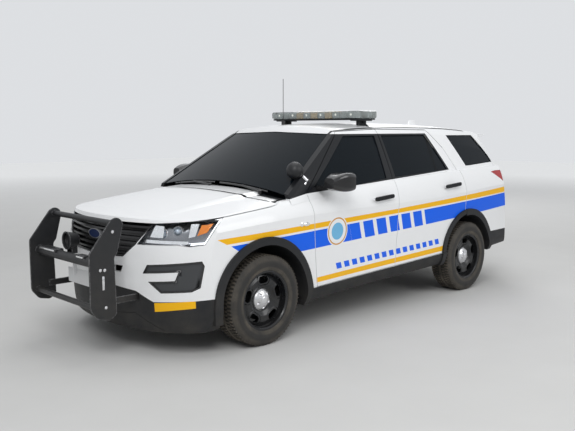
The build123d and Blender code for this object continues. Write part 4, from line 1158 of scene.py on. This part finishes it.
def corner_place(across, height):
    """A place on the upright plane at 45 degrees through the front axle."""
    return Vector((at(0), 0, 0)) + CORNER_ACROSS * across + Vector((0, 0, height))


def corner_patches(outlines, depth):
    """Patches of the left headlight's outer skin inside outlines, moved inwards and given thickness."""
    patches = []
    for outline in outlines:
        patch = headlight_skin(True)
        edit(patch, "SELECT")
        bpy.ops.transform.shrink_fatten(value=-depth)
        corners = [corner_place(*corner) for corner in outline]
        for start, end in zip(corners, corners[1:] + corners[:1]):
            bpy.ops.mesh.select_all(action="SELECT")
            bpy.ops.mesh.bisect(plane_co=start, plane_no=(end - start).cross(CORNER_OUT), clear_outer=True)
        end_edit()
        patches.append(thickened(patch, 0.003))
    return joined(patches)


class PATROL_OT_headlights(bpy.types.Operator):
    """Bowls, projector lenses, reflectors and light strips inside the headlights"""

    bl_idname = "patrol.headlights"
    bl_label = "Headlights"

    def execute(self, context):
        shell = headlight_skin(False)
        edit(shell, "SELECT")
        bpy.ops.transform.shrink_fatten(value=-0.0012)
        end_edit()
        FINISH.update(
            lamp_bowl=plain_lamp("Lamp bowl", (0.34, 0.35, 0.37), 0.6, 0.25),
            reflector=plain_lamp("Lamp reflector", (0.88, 0.89, 0.90), 0.9, 0.10, 0.12),
            strip=plain_lamp("Light strip", (0.95, 0.96, 0.98), 0.0, 0.3, 1.1),
            amber=plain_lamp("Amber reflector", (0.85, 0.25, 0.03), 0.0, 0.2, 0.1),
            projector=plain_lamp("Projector lens", (0.55, 0.62, 0.70), 0.6, 0.04),
        )
        pieces = [
            (shell, "lamp_bowl", "lamp_bowl"),
            (corner_patches(LIGHT_STRIPS, 0.009), "light_strip", "strip"),
            (corner_patches((AMBER_BLOCK,), 0.016), "amber_lamp", "amber"),
            (corner_patches(SILVER_BLOCKS, 0.024), "reflector_block", "reflector"),
        ]
        for count, (dx, y, z, radius) in enumerate(LAMP_UNITS):
            place = Vector((at(dx), y, z))
            ring, dome = ([(radius * share, step) for share, step in rings] for rings in (UNIT_RING, UNIT_DOME))
            pieces.append((turned(ring, place, LAMP_AIM, 32, True, False), f"lamp_ring_{count}", "reflector"))
            pieces.append((turned([*dome, UNIT_TIP], place, LAMP_AIM, 32), f"projector_{count}", "projector"))
        for piece, name, look in pieces:
            finish_pair(piece, name, "clear_lamp", look)
        return {"FINISHED"}


# The hood's raised middle: (dx, rise) along it, then (distance out, share of the rise) across it
DOME_ALONG = ((-0.163, 0.024), (0.03, 0.022), (0.30, 0.016), (0.58, 0.006), (0.73, 0.001))
DOME_ACROSS = ((0.0, 1.0), (0.30, 0.95), (0.49, 0.86), (0.53, 0.98), (0.56, 0.80), (0.60, 0.0))
DOME_GRID = (36, 80)
# How far out the hood's edges are looked for, and where the search for its rear edge starts
HOOD_SIDE = 0.80
HOOD_SEARCH = -0.166
# The painted panel behind the hood: grid, distance out, height over the cowl, rear end and rise of its middle
COVER_GRID = (6, 80)
COVER_HALF = 0.84
COVER_STAND = 0.005
COVER_REAR = -0.285
COVER_RISE = 0.014
# A height over the hood, cowl and windscreen, to look down on them from
LOOKOUT = 2.0


def between(points, place):
    """A value read off a line of (place, value) points."""
    for (low, first), (high, second) in zip(points, points[1:]):
        if place <= high:
            return first + (second - first) * max(0.0, place - low) / (high - low)
    return points[-1][1]


def top_of(node, dx, y):
    """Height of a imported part's top."""
    return on_surface(node, (at(dx), y, LOOKOUT), (0, 0, -1))[0].z


def on_hood(y):
    """Y, or the hood's side where it lies beyond."""
    return max(-HOOD_SIDE, min(HOOD_SIDE, y))


def hood_rear(y):
    """How far ahead of the front axle the hood's rear edge lies."""
    steps = [0.002 * step + HOOD_SEARCH for step in range(60)]
    return next(dx for dx in steps if NODES["hood"].ray_cast((at(dx), on_hood(y), LOOKOUT), (0, 0, -1))[0])


def laid_grid(rows, columns, half, place):
    """A grid over both sides of the car, laid by place(share along, y, on its edge)."""
    pick_nothing()
    bpy.ops.mesh.primitive_grid_add(x_subdivisions=rows, y_subdivisions=columns, size=2.0)
    grid = bpy.context.active_object
    edit(grid)
    mesh = bmesh.from_edit_mesh(grid.data)
    for vert in mesh.verts:
        vert.co = place((vert.co.x + 1) / 2, vert.co.y * half, vert.is_boundary)
    bmesh.update_edit_mesh(grid.data)
    end_edit()
    return grid


class PATROL_OT_hood_dome(bpy.types.Operator):
    """Raised middle of the hood, between its two creases, and the painted panel behind it"""

    bl_idname = "patrol.hood_dome"
    bl_label = "Hood dome"

    def execute(self, context):
        front = DOME_ALONG[-1][0]

        def dome_place(share, y, on_edge):
            rear = hood_rear(y) + 0.002
            dx = rear + (front - rear) * max(share, 0.002 if not on_edge else 0.0)
            rise = between(DOME_ALONG, dx) * between(DOME_ACROSS, abs(y))
            return Vector((at(dx), y, top_of("hood", dx, y) + (-0.001 if on_edge else rise)))

        def cover_place(share, y, on_edge):
            rear = hood_rear(y)
            across = between(DOME_ACROSS, abs(y))
            start = top_of("hood", rear + 0.003, on_hood(y)) + between(DOME_ALONG, rear) * across
            end = top_of("cowl", COVER_REAR, y) + COVER_STAND + COVER_RISE * across
            dx = COVER_REAR + (rear - 0.010 - COVER_REAR) * share
            height = max(end + (start - end) * share, top_of("cowl", dx, y) + COVER_STAND)
            return Vector((at(dx), y, height))

        dome = laid_grid(*DOME_GRID, DOME_ACROSS[-1][0], dome_place)
        finish(dome, "hood_dome", "hood", "body_paint", smooth=50)
        cover = thickened(laid_grid(*COVER_GRID, COVER_HALF, cover_place), 0.003)
        finish(cover, "cowl_cover", "chassis", "body_paint", smooth=50)
        return {"FINISHED"}


# Fog lamp bezels: width of the rim, depth of the panel in it, and the panel's height off the bottom
BEZEL_RIM = 0.013
BEZEL_DEPTH = 0.011
PANEL_LIFT = 0.002


class PATROL_OT_fog_bezels(bpy.types.Operator):
    """Bezels round the fog lamps, each with a sunken grained panel"""

    bl_idname = "patrol.fog_bezels"
    bl_label = "Fog bezels"

    def execute(self, context):
        bezel = merged_copy("fog_lamps", lambda middle, normal: middle.y > 0)
        edit(bezel)
        select_faces(bezel, lambda middle, normal: normal.dot(LAMP_OUTWARD) > LAMP_FACING)
        bpy.ops.mesh.inset(thickness=BEZEL_RIM)
        bpy.ops.mesh.extrude_region_move(TRANSFORM_OT_translate={"value": -CORNER_OUT * BEZEL_DEPTH})
        bpy.ops.mesh.duplicate()
        bpy.ops.transform.translate(value=CORNER_OUT * PANEL_LIFT)
        bpy.ops.mesh.separate(type="SELECTED")
        end_edit()
        panel = next(piece for piece in context.selected_objects if piece is not bezel)
        thickened(panel, 0.0015)
        FINISH["bezel_panel"] = moulded_plastic("Bezel panel", (0.055, 0.058, 0.062), 0.42, 0.1)
        finish_pair(bezel, "fog_bezel", "gloss_trim")
        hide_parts("fog_lamps")
        finish_pair(panel, "fog_panel", "gloss_trim", "bezel_panel")
        return {"FINISHED"}


class PATROL_OT_mirrors(bpy.types.Operator):
    """Glass of the door mirrors"""

    bl_idname = "patrol.mirrors"
    bl_label = "Mirror glass"

    def execute(self, context):
        FINISH["mirror_glass"] = plain_lamp("Mirror glass", (0.78, 0.80, 0.82), 1.0, 0.03)
        for side in ("left", "right"):
            glass = face_plate("mirror_" + side, Vector((-1, 0, 0)), 0.009, 0.0015)
            finish(glass, "mirror_glass_" + side, "front_door_" + side, "chrome", "mirror_glass")
        return {"FINISHED"}


# Wipers: the blade's two ends and the arm's pivot, as distances across the car
WIPERS = ((0.660, 0.030, 0.590), (-0.040, -0.640, -0.080))
# The blade's dx, the dx at which the glass gives its height, how far below that it lies, and its rods
BLADE_DX = -0.291
BLADE_GLASS_DX = -0.304
BLADE_DROP = 0.020
BLADE_RODS = 8
# The arm's foot: how far ahead of the blade and over the cowl, and the rings of its nut
PIVOT_AHEAD = 0.024
PIVOT_RISE = 0.026
PIVOT_RINGS = ((0.020, -0.020), (0.020, 0.010), (0.013, 0.016))


class PATROL_OT_wipers(bpy.types.Operator):
    """Wiper arms and blades parked along the foot of the windscreen"""

    bl_idname = "patrol.wipers"
    bl_label = "Wipers"

    def execute(self, context):
        parts = []
        width = sizes().wiper_width
        pivot_dx = BLADE_DX + PIVOT_AHEAD
        for outer, inner, pivot in WIPERS:
            places = []
            for step in range(BLADE_RODS + 1):
                y = outer + (inner - outer) * step / BLADE_RODS
                places.append(Vector((at(BLADE_DX), y, top_of("windscreen", BLADE_GLASS_DX, y) - BLADE_DROP)))
            for start, end in zip(places, places[1:]):
                parts.append(rod(start, end, width / 2, 8))
            foot = Vector((at(pivot_dx), pivot, top_of("cowl", pivot_dx, pivot) + PIVOT_RISE))
            middle = places[BLADE_RODS // 2] + Vector((0.012, 0, 0.006))
            parts.append(rod(foot, middle, width * 0.55, 8))
            parts.append(turned(PIVOT_RINGS, foot, (0, 0, 1), 20))
        finish(joined(parts), "wipers", "chassis", "gloss_trim")
        return {"FINISHED"}


# Round and oval lamps on the side of the front fender: dx, height, and rings of (radius, distance outwards)
ROUND_MARKER = (-0.385, 0.926, ((0.019, -0.004), (0.019, 0.003), (0.014, 0.006), (0.004, 0.007)))
OVAL_MARKER = (-0.438, 0.924, ((0.016, -0.004), (0.016, 0.004), (0.012, 0.008), (0.004, 0.009)))
OVAL_STRETCH = 2.2
# Cabin mirror: a place ahead of it to look back from, its middle's offset from the glass, and half its size
MIRROR_LOOKOUT = (1.0, -0.12, 1.53)
MIRROR_OFFSET = Vector((-0.075, 0, -0.030))
MIRROR_HALF = Vector((0.013, 0.125, 0.034))
# Spotlight bracket: foot (dx, Y, height), and its rods' ends from there, with radius and sides
BRACKET_FOOT = (-0.560, 0.858, 1.275)
BRACKET_RODS = (
    ((0.045, -0.020, 0.030), (0.010, 0.006, -0.012), 0.016, 20),
    ((0.030, 0.010, -0.020), (0.052, 0.002, -0.050), 0.011, 16),
)
# On each side of the push bumper: bolts (dx, height) and their rings, and the slot plate's span (dx, height)
GUARD_BOLTS = ((1.166, 0.692), (1.131, 0.689), (1.060, 0.960), (1.129, 0.415))
BOLT_RINGS = ((0.013, 0), (0.013, 0.006), (0.009, 0.009))
SLOT_PLATE = ((1.134, 0.545), (1.152, 0.645))
# Strobe lamps on its cross bar: two corners of each box (dx, Y, height)
STROBES = (((1.128, -0.400, 0.748), (1.204, -0.135, 0.774)), ((1.138, 0.176, 0.748), (1.196, 0.300, 0.774)))


def marker_lamp(dx, z, rings):
    """A lamp on the side of the left front fender, and its middle."""
    place, normal = on_surface("front_fenders", (at(dx), 2, z))
    return turned(rings, place, normal, 24), place


def guard_sides():
    """The bolts and the slot plates on both sides of the push bumper."""
    bolts, slots = [], []
    (rear_dx, low), (front_dx, high) = SLOT_PLATE
    for side in (1, -1):
        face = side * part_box("push_bumper")[1].y
        root = face - side * 0.002
        for dx, z in GUARD_BOLTS:
            bolts.append(turned(BOLT_RINGS, Vector((at(dx), root, z)), (0, side, 0), 6))
        right, left = sorted((root, face + side * 0.0015))
        slots.append(block((at(rear_dx), right, low), (at(front_dx), left, high), 0.0005))
    return bolts, slots


def guard_strobes():
    """The boxes and the lenses of the push bumper's strobe lamps."""
    boxes, lenses = [], []
    for (rear_dx, right, low), (front_dx, left, high) in STROBES:
        boxes.append(block((at(rear_dx), right, low), (at(front_dx), left, high), 0.004))
        lens_low = (at(front_dx) - 0.004, right + 0.012, low + 0.008)
        lenses.append(block(lens_low, (at(front_dx) + 0.003, left - 0.012, high - 0.007), 0.0015))
    return boxes, lenses


class PATROL_OT_fittings(bpy.types.Operator):
    """Side marker lamps, cabin mirror, spotlight bracket, and the push bumper's bolts, slots and strobes"""

    bl_idname = "patrol.fittings"
    bl_label = "Fittings"

    def execute(self, context):
        cup = marker_lamp(*ROUND_MARKER)[0]
        oval, place = marker_lamp(*OVAL_MARKER)
        edit(oval, "SELECT")
        bpy.ops.transform.resize(value=(OVAL_STRETCH, 1.0, 1.0), center_override=place)
        end_edit()
        finish_pair(joined([cup, oval]), "side_marker", "clear_lamp", "reflector")
        dx, y, z = MIRROR_LOOKOUT
        glass, normal = on_surface("windscreen", (at(dx), y, z), (-1, 0, 0))
        housing = glass + MIRROR_OFFSET
        mirror = block(housing - MIRROR_HALF, housing + MIRROR_HALF, 0.010)
        stalk = rod(glass - normal * 0.012, housing, 0.008)
        finish(joined([mirror, stalk]), "cabin_mirror", "chassis", "interior")
        dx, y, z = BRACKET_FOOT
        foot = Vector((at(dx), y, z))
        parts = [rod(foot + Vector(start), foot + Vector(end), *size) for start, end, *size in BRACKET_RODS]
        finish(joined(parts), "spotlight_bracket", "chassis", "chrome")
        bolts, slots = guard_sides()
        boxes, lenses = guard_strobes()
        finish(joined(boxes), "guard_strobes", "chassis", "guard_black")
        finish(joined(lenses), "guard_strobe_lenses", "chassis", "clear_lamp", "reflector")
        finish(joined(bolts), "guard_bolts", "chassis", "chrome")
        finish(joined(slots), "guard_slot_plates", "chassis", "chrome")
        return {"FINISHED"}


BAR_TRAY = 0.014
BAR_MODULES = 11
BAR_AMBER = (3, 5, 7)
BAR_END = 0.05
# Foot and pad under the tray: half-length, then distances of both sides in from the bar's end
BAR_FOOT = (0.06, 0.090, 0.060)
BAR_PAD = (0.10, 0.130, 0.020)
BULB_RINGS = ((0.011, 0), (0.009, 0.006), (0.003, 0.009))


class PATROL_OT_light_bar(bpy.types.Operator):
    """Roof light bar: dark tray, clear lens, lamp modules and feet"""

    bl_idname = "patrol.light_bar"
    bl_label = "Light bar"

    def execute(self, context):
        low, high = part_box("light_bar")
        middle_x = (low.x + high.x) / 2
        half_x, half_y = (high.x - low.x) / 2, high.y
        tray_z = high.z - sizes().bar_height
        lens_z = tray_z + BAR_TRAY
        inner_y = half_y - 0.012
        tray = [cross_block(middle_x, half_x - 0.012, (-inner_y, inner_y), (tray_z, lens_z), 0.006)]
        for side in (1, -1):
            for (half, inner, outer), heights, rounding in (
                (BAR_FOOT, (low.z + 0.004, tray_z + 0.004), 0.005),
                (BAR_PAD, (tray_z - 0.010, tray_z + 0.002), 0.004),
            ):
                sides = (side * (half_y - inner), side * (half_y - outer))
                tray.append(cross_block(middle_x, half, sides, heights, rounding))
            strap, normal = on_surface("body_sides", (middle_x, side * 1.2, 1.66), (0, -side, 0))
            foot = Vector((middle_x, side * (half_y - 0.045), low.z + 0.030))
            tray.append(rod(foot, strap + normal * 0.004, 0.009, 10))
            tray.append(rod(Vector((middle_x, side * (half_y - 0.10), tray_z - 0.004)), foot, 0.009, 10))
        tray = joined(tray)
        finish(tray, "light_bar_tray", "chassis", "dark_plastic")
        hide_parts("light_bar")
        lens = cross_block(middle_x, half_x, (-half_y, half_y), (lens_z, high.z), 0.018)
        finish(lens, "light_bar_lens", "chassis", "light_bar_lens")
        FINISH.update(
            module=plain_lamp("Lamp module", (0.34, 0.37, 0.37), 0.3, 0.35),
            pale_module=plain_lamp("Amber module", (0.50, 0.34, 0.15), 0.1, 0.35),
            bulb=plain_lamp("Lamp bulb", (0.95, 0.93, 0.85), 0.0, 0.2, 0.5),
        )
        step = 2 * (half_y - BAR_END) / BAR_MODULES
        kinds = {"module": [], "pale_module": [], "bulb": []}
        for index in range(BAR_MODULES):
            start = BAR_END - half_y + step * index
            kind = "pale_module" if index in BAR_AMBER else "module"
            for face in (1, -1):
                rear, front = sorted((middle_x + face * 0.050, middle_x + face * (half_x - 0.032)))
                low_corner = (rear, start + 0.006, lens_z + 0.004)
                kinds[kind].append(block(low_corner, (front, start + step - 0.006, high.z - 0.016), 0.005))
                if index % 2 == 0:
                    place = (middle_x + face * (half_x - 0.034), start + step / 2, (lens_z + high.z) / 2)
                    kinds["bulb"].append(turned(BULB_RINGS, place, (face, 0, 0), 16))
        for kind, units in kinds.items():
            finish(joined(units), "light_bar_" + kind, "chassis", "light_bar_lens", kind)
        return {"FINISHED"}


# Studio lamps: name, place, size and power, all turned to a point over the car's middle
STUDIO_LAMPS = (
    ("key_lamp", (7.0, 6.5, 7.5), 5.0, 500.0),
    ("fill_lamp", (-3.0, 9.0, 5.0), 5.0, 230.0),
    ("rear_lamp", (-8.0, -6.0, 6.5), 5.0, 300.0),
    ("top_lamp", (0.0, 0.0, 8.5), 7.0, 210.0),
)
LAMP_TARGET = Vector((0, 0, 0.7))


def add_holder(name, data, place, direction):
    """A lamp or camera at a place, looking in a direction."""
    holder = bpy.data.objects.new(name, data)
    bpy.context.scene.collection.objects.link(holder)
    holder.location = place
    holder.rotation_euler = direction.to_track_quat("-Z", "Y").to_euler()
    return holder


class PATROL_OT_stage(bpy.types.Operator):
    """Floor, soft studio lamps, pale world and the camera"""

    bl_idname = "patrol.stage"
    bl_label = "Stage"

    def execute(self, context):
        context.scene.view_settings.view_transform = "Standard"
        pick_nothing()
        bpy.ops.mesh.primitive_plane_add(size=60, location=(0, 0, 0))
        floor = bpy.context.active_object
        floor.name = "studio_floor"
        floor.data.materials.append(stage_finish())
        for name, place, size, power in STUDIO_LAMPS:
            lamp = bpy.data.lights.new(name, "AREA")
            lamp.energy = power
            lamp.size = size
            add_holder(name, lamp, place, LAMP_TARGET - Vector(place))
        world = bpy.data.worlds.new("Studio")
        world.use_nodes = True
        bpy.context.scene.world = world
        graph = Graph(world.node_tree)
        back = world.node_tree.nodes["Background"]
        path = graph.node("ShaderNodeLightPath")
        seen = graph.math("MAXIMUM", path.outputs["Is Camera Ray"], path.outputs["Is Glossy Ray"])
        seen = graph.math("MAXIMUM", seen, path.outputs["Is Transmission Ray"])
        graph.put(back.inputs["Color"], (0.93, 0.95, 0.98))
        graph.put(back.inputs["Strength"], graph.math("MULTIPLY_ADD", seen, 0.42, 0.36))
        add_camera()
        return {"FINISHED"}


# The floor starts to glow this far out, and does so fully after the second distance
GLOW_START = 5.0
GLOW_WIDTH = 16.0


def stage_finish():
    """Pale even floor that meets the backdrop softly."""
    material, g = shaded("Studio floor", (0.60, 0.60, 0.59), 0.85)
    g.feed(Base_Color=g.mix(g.noise(2.0), (0.59, 0.59, 0.58), (0.63, 0.63, 0.62)))
    far = g.above(g.distance(*g.position()[:2]), GLOW_START, GLOW_WIDTH)
    seen = g.node("ShaderNodeLightPath").outputs["Is Camera Ray"]
    g.feed(Emission_Color=(0.60, 0.61, 0.62))
    g.feed(Emission_Strength=g.both(far, seen, 0.8))
    return material


CAMERA_PLACE = (3.7219, 5.0456, 1.6969)
CAMERA_HEADING = 225.978
CAMERA_PITCH = -6.869
CAMERA_LENS = 45.19


def add_camera():
    """The camera at the photograph's place, measured from the front axle."""
    camera = bpy.data.cameras.new("camera")
    camera.lens = CAMERA_LENS
    camera.sensor_width = 36.0
    dx, y, z = CAMERA_PLACE
    heading, pitch = math.radians(CAMERA_HEADING), math.radians(CAMERA_PITCH)
    ahead = Vector((math.cos(pitch) * math.cos(heading), math.cos(pitch) * math.sin(heading), math.sin(pitch)))
    bpy.context.scene.camera = add_holder("camera", camera, (at(dx), y, z), ahead)


OPERATORS = (
    PATROL_OT_finishes,
    PATROL_OT_tyres,
    PATROL_OT_wheel_nuts,
    PATROL_OT_headlights,
    PATROL_OT_hood_dome,
    PATROL_OT_fog_bezels,
    PATROL_OT_mirrors,
    PATROL_OT_wipers,
    PATROL_OT_fittings,
    PATROL_OT_light_bar,
    PATROL_OT_stage,
)


class PATROL_PT_panel(bpy.types.Panel):
    """The car's pieces, sizes and colours"""

    bl_idname = "PATROL_PT_panel"
    bl_label = "Patrol car"
    bl_space_type = "VIEW_3D"
    bl_region_type = "UI"
    bl_category = "Patrol car"

    def draw(self, context):
        for group in (context.scene.patrol_paint, context.scene.patrol_sizes):
            for name in group.__annotations__:
                self.layout.prop(group, name)
        for operator in OPERATORS:
            self.layout.operator(operator.bl_idname)


def register():
    """Registers the classes and their settings."""
    for kind in (PatrolPaint, PatrolSizes, *OPERATORS, PATROL_PT_panel):
        bpy.utils.register_class(kind)
    bpy.types.Scene.patrol_paint = bpy.props.PointerProperty(type=PatrolPaint)
    bpy.types.Scene.patrol_sizes = bpy.props.PointerProperty(type=PatrolSizes)


def unregister():
    """Removes what register added."""
    del bpy.types.Scene.patrol_sizes
    del bpy.types.Scene.patrol_paint
    for kind in (PATROL_PT_panel, *reversed(OPERATORS), PatrolSizes, PatrolPaint):
        bpy.utils.unregister_class(kind)


def main():
    """Builds the dressed car."""
    register()
    bpy.context.view_layer.update()
    for operator in OPERATORS:
        group, name = operator.bl_idname.split(".")
        getattr(getattr(bpy.ops, group), name)()


if __name__ == "__main__":
    main()
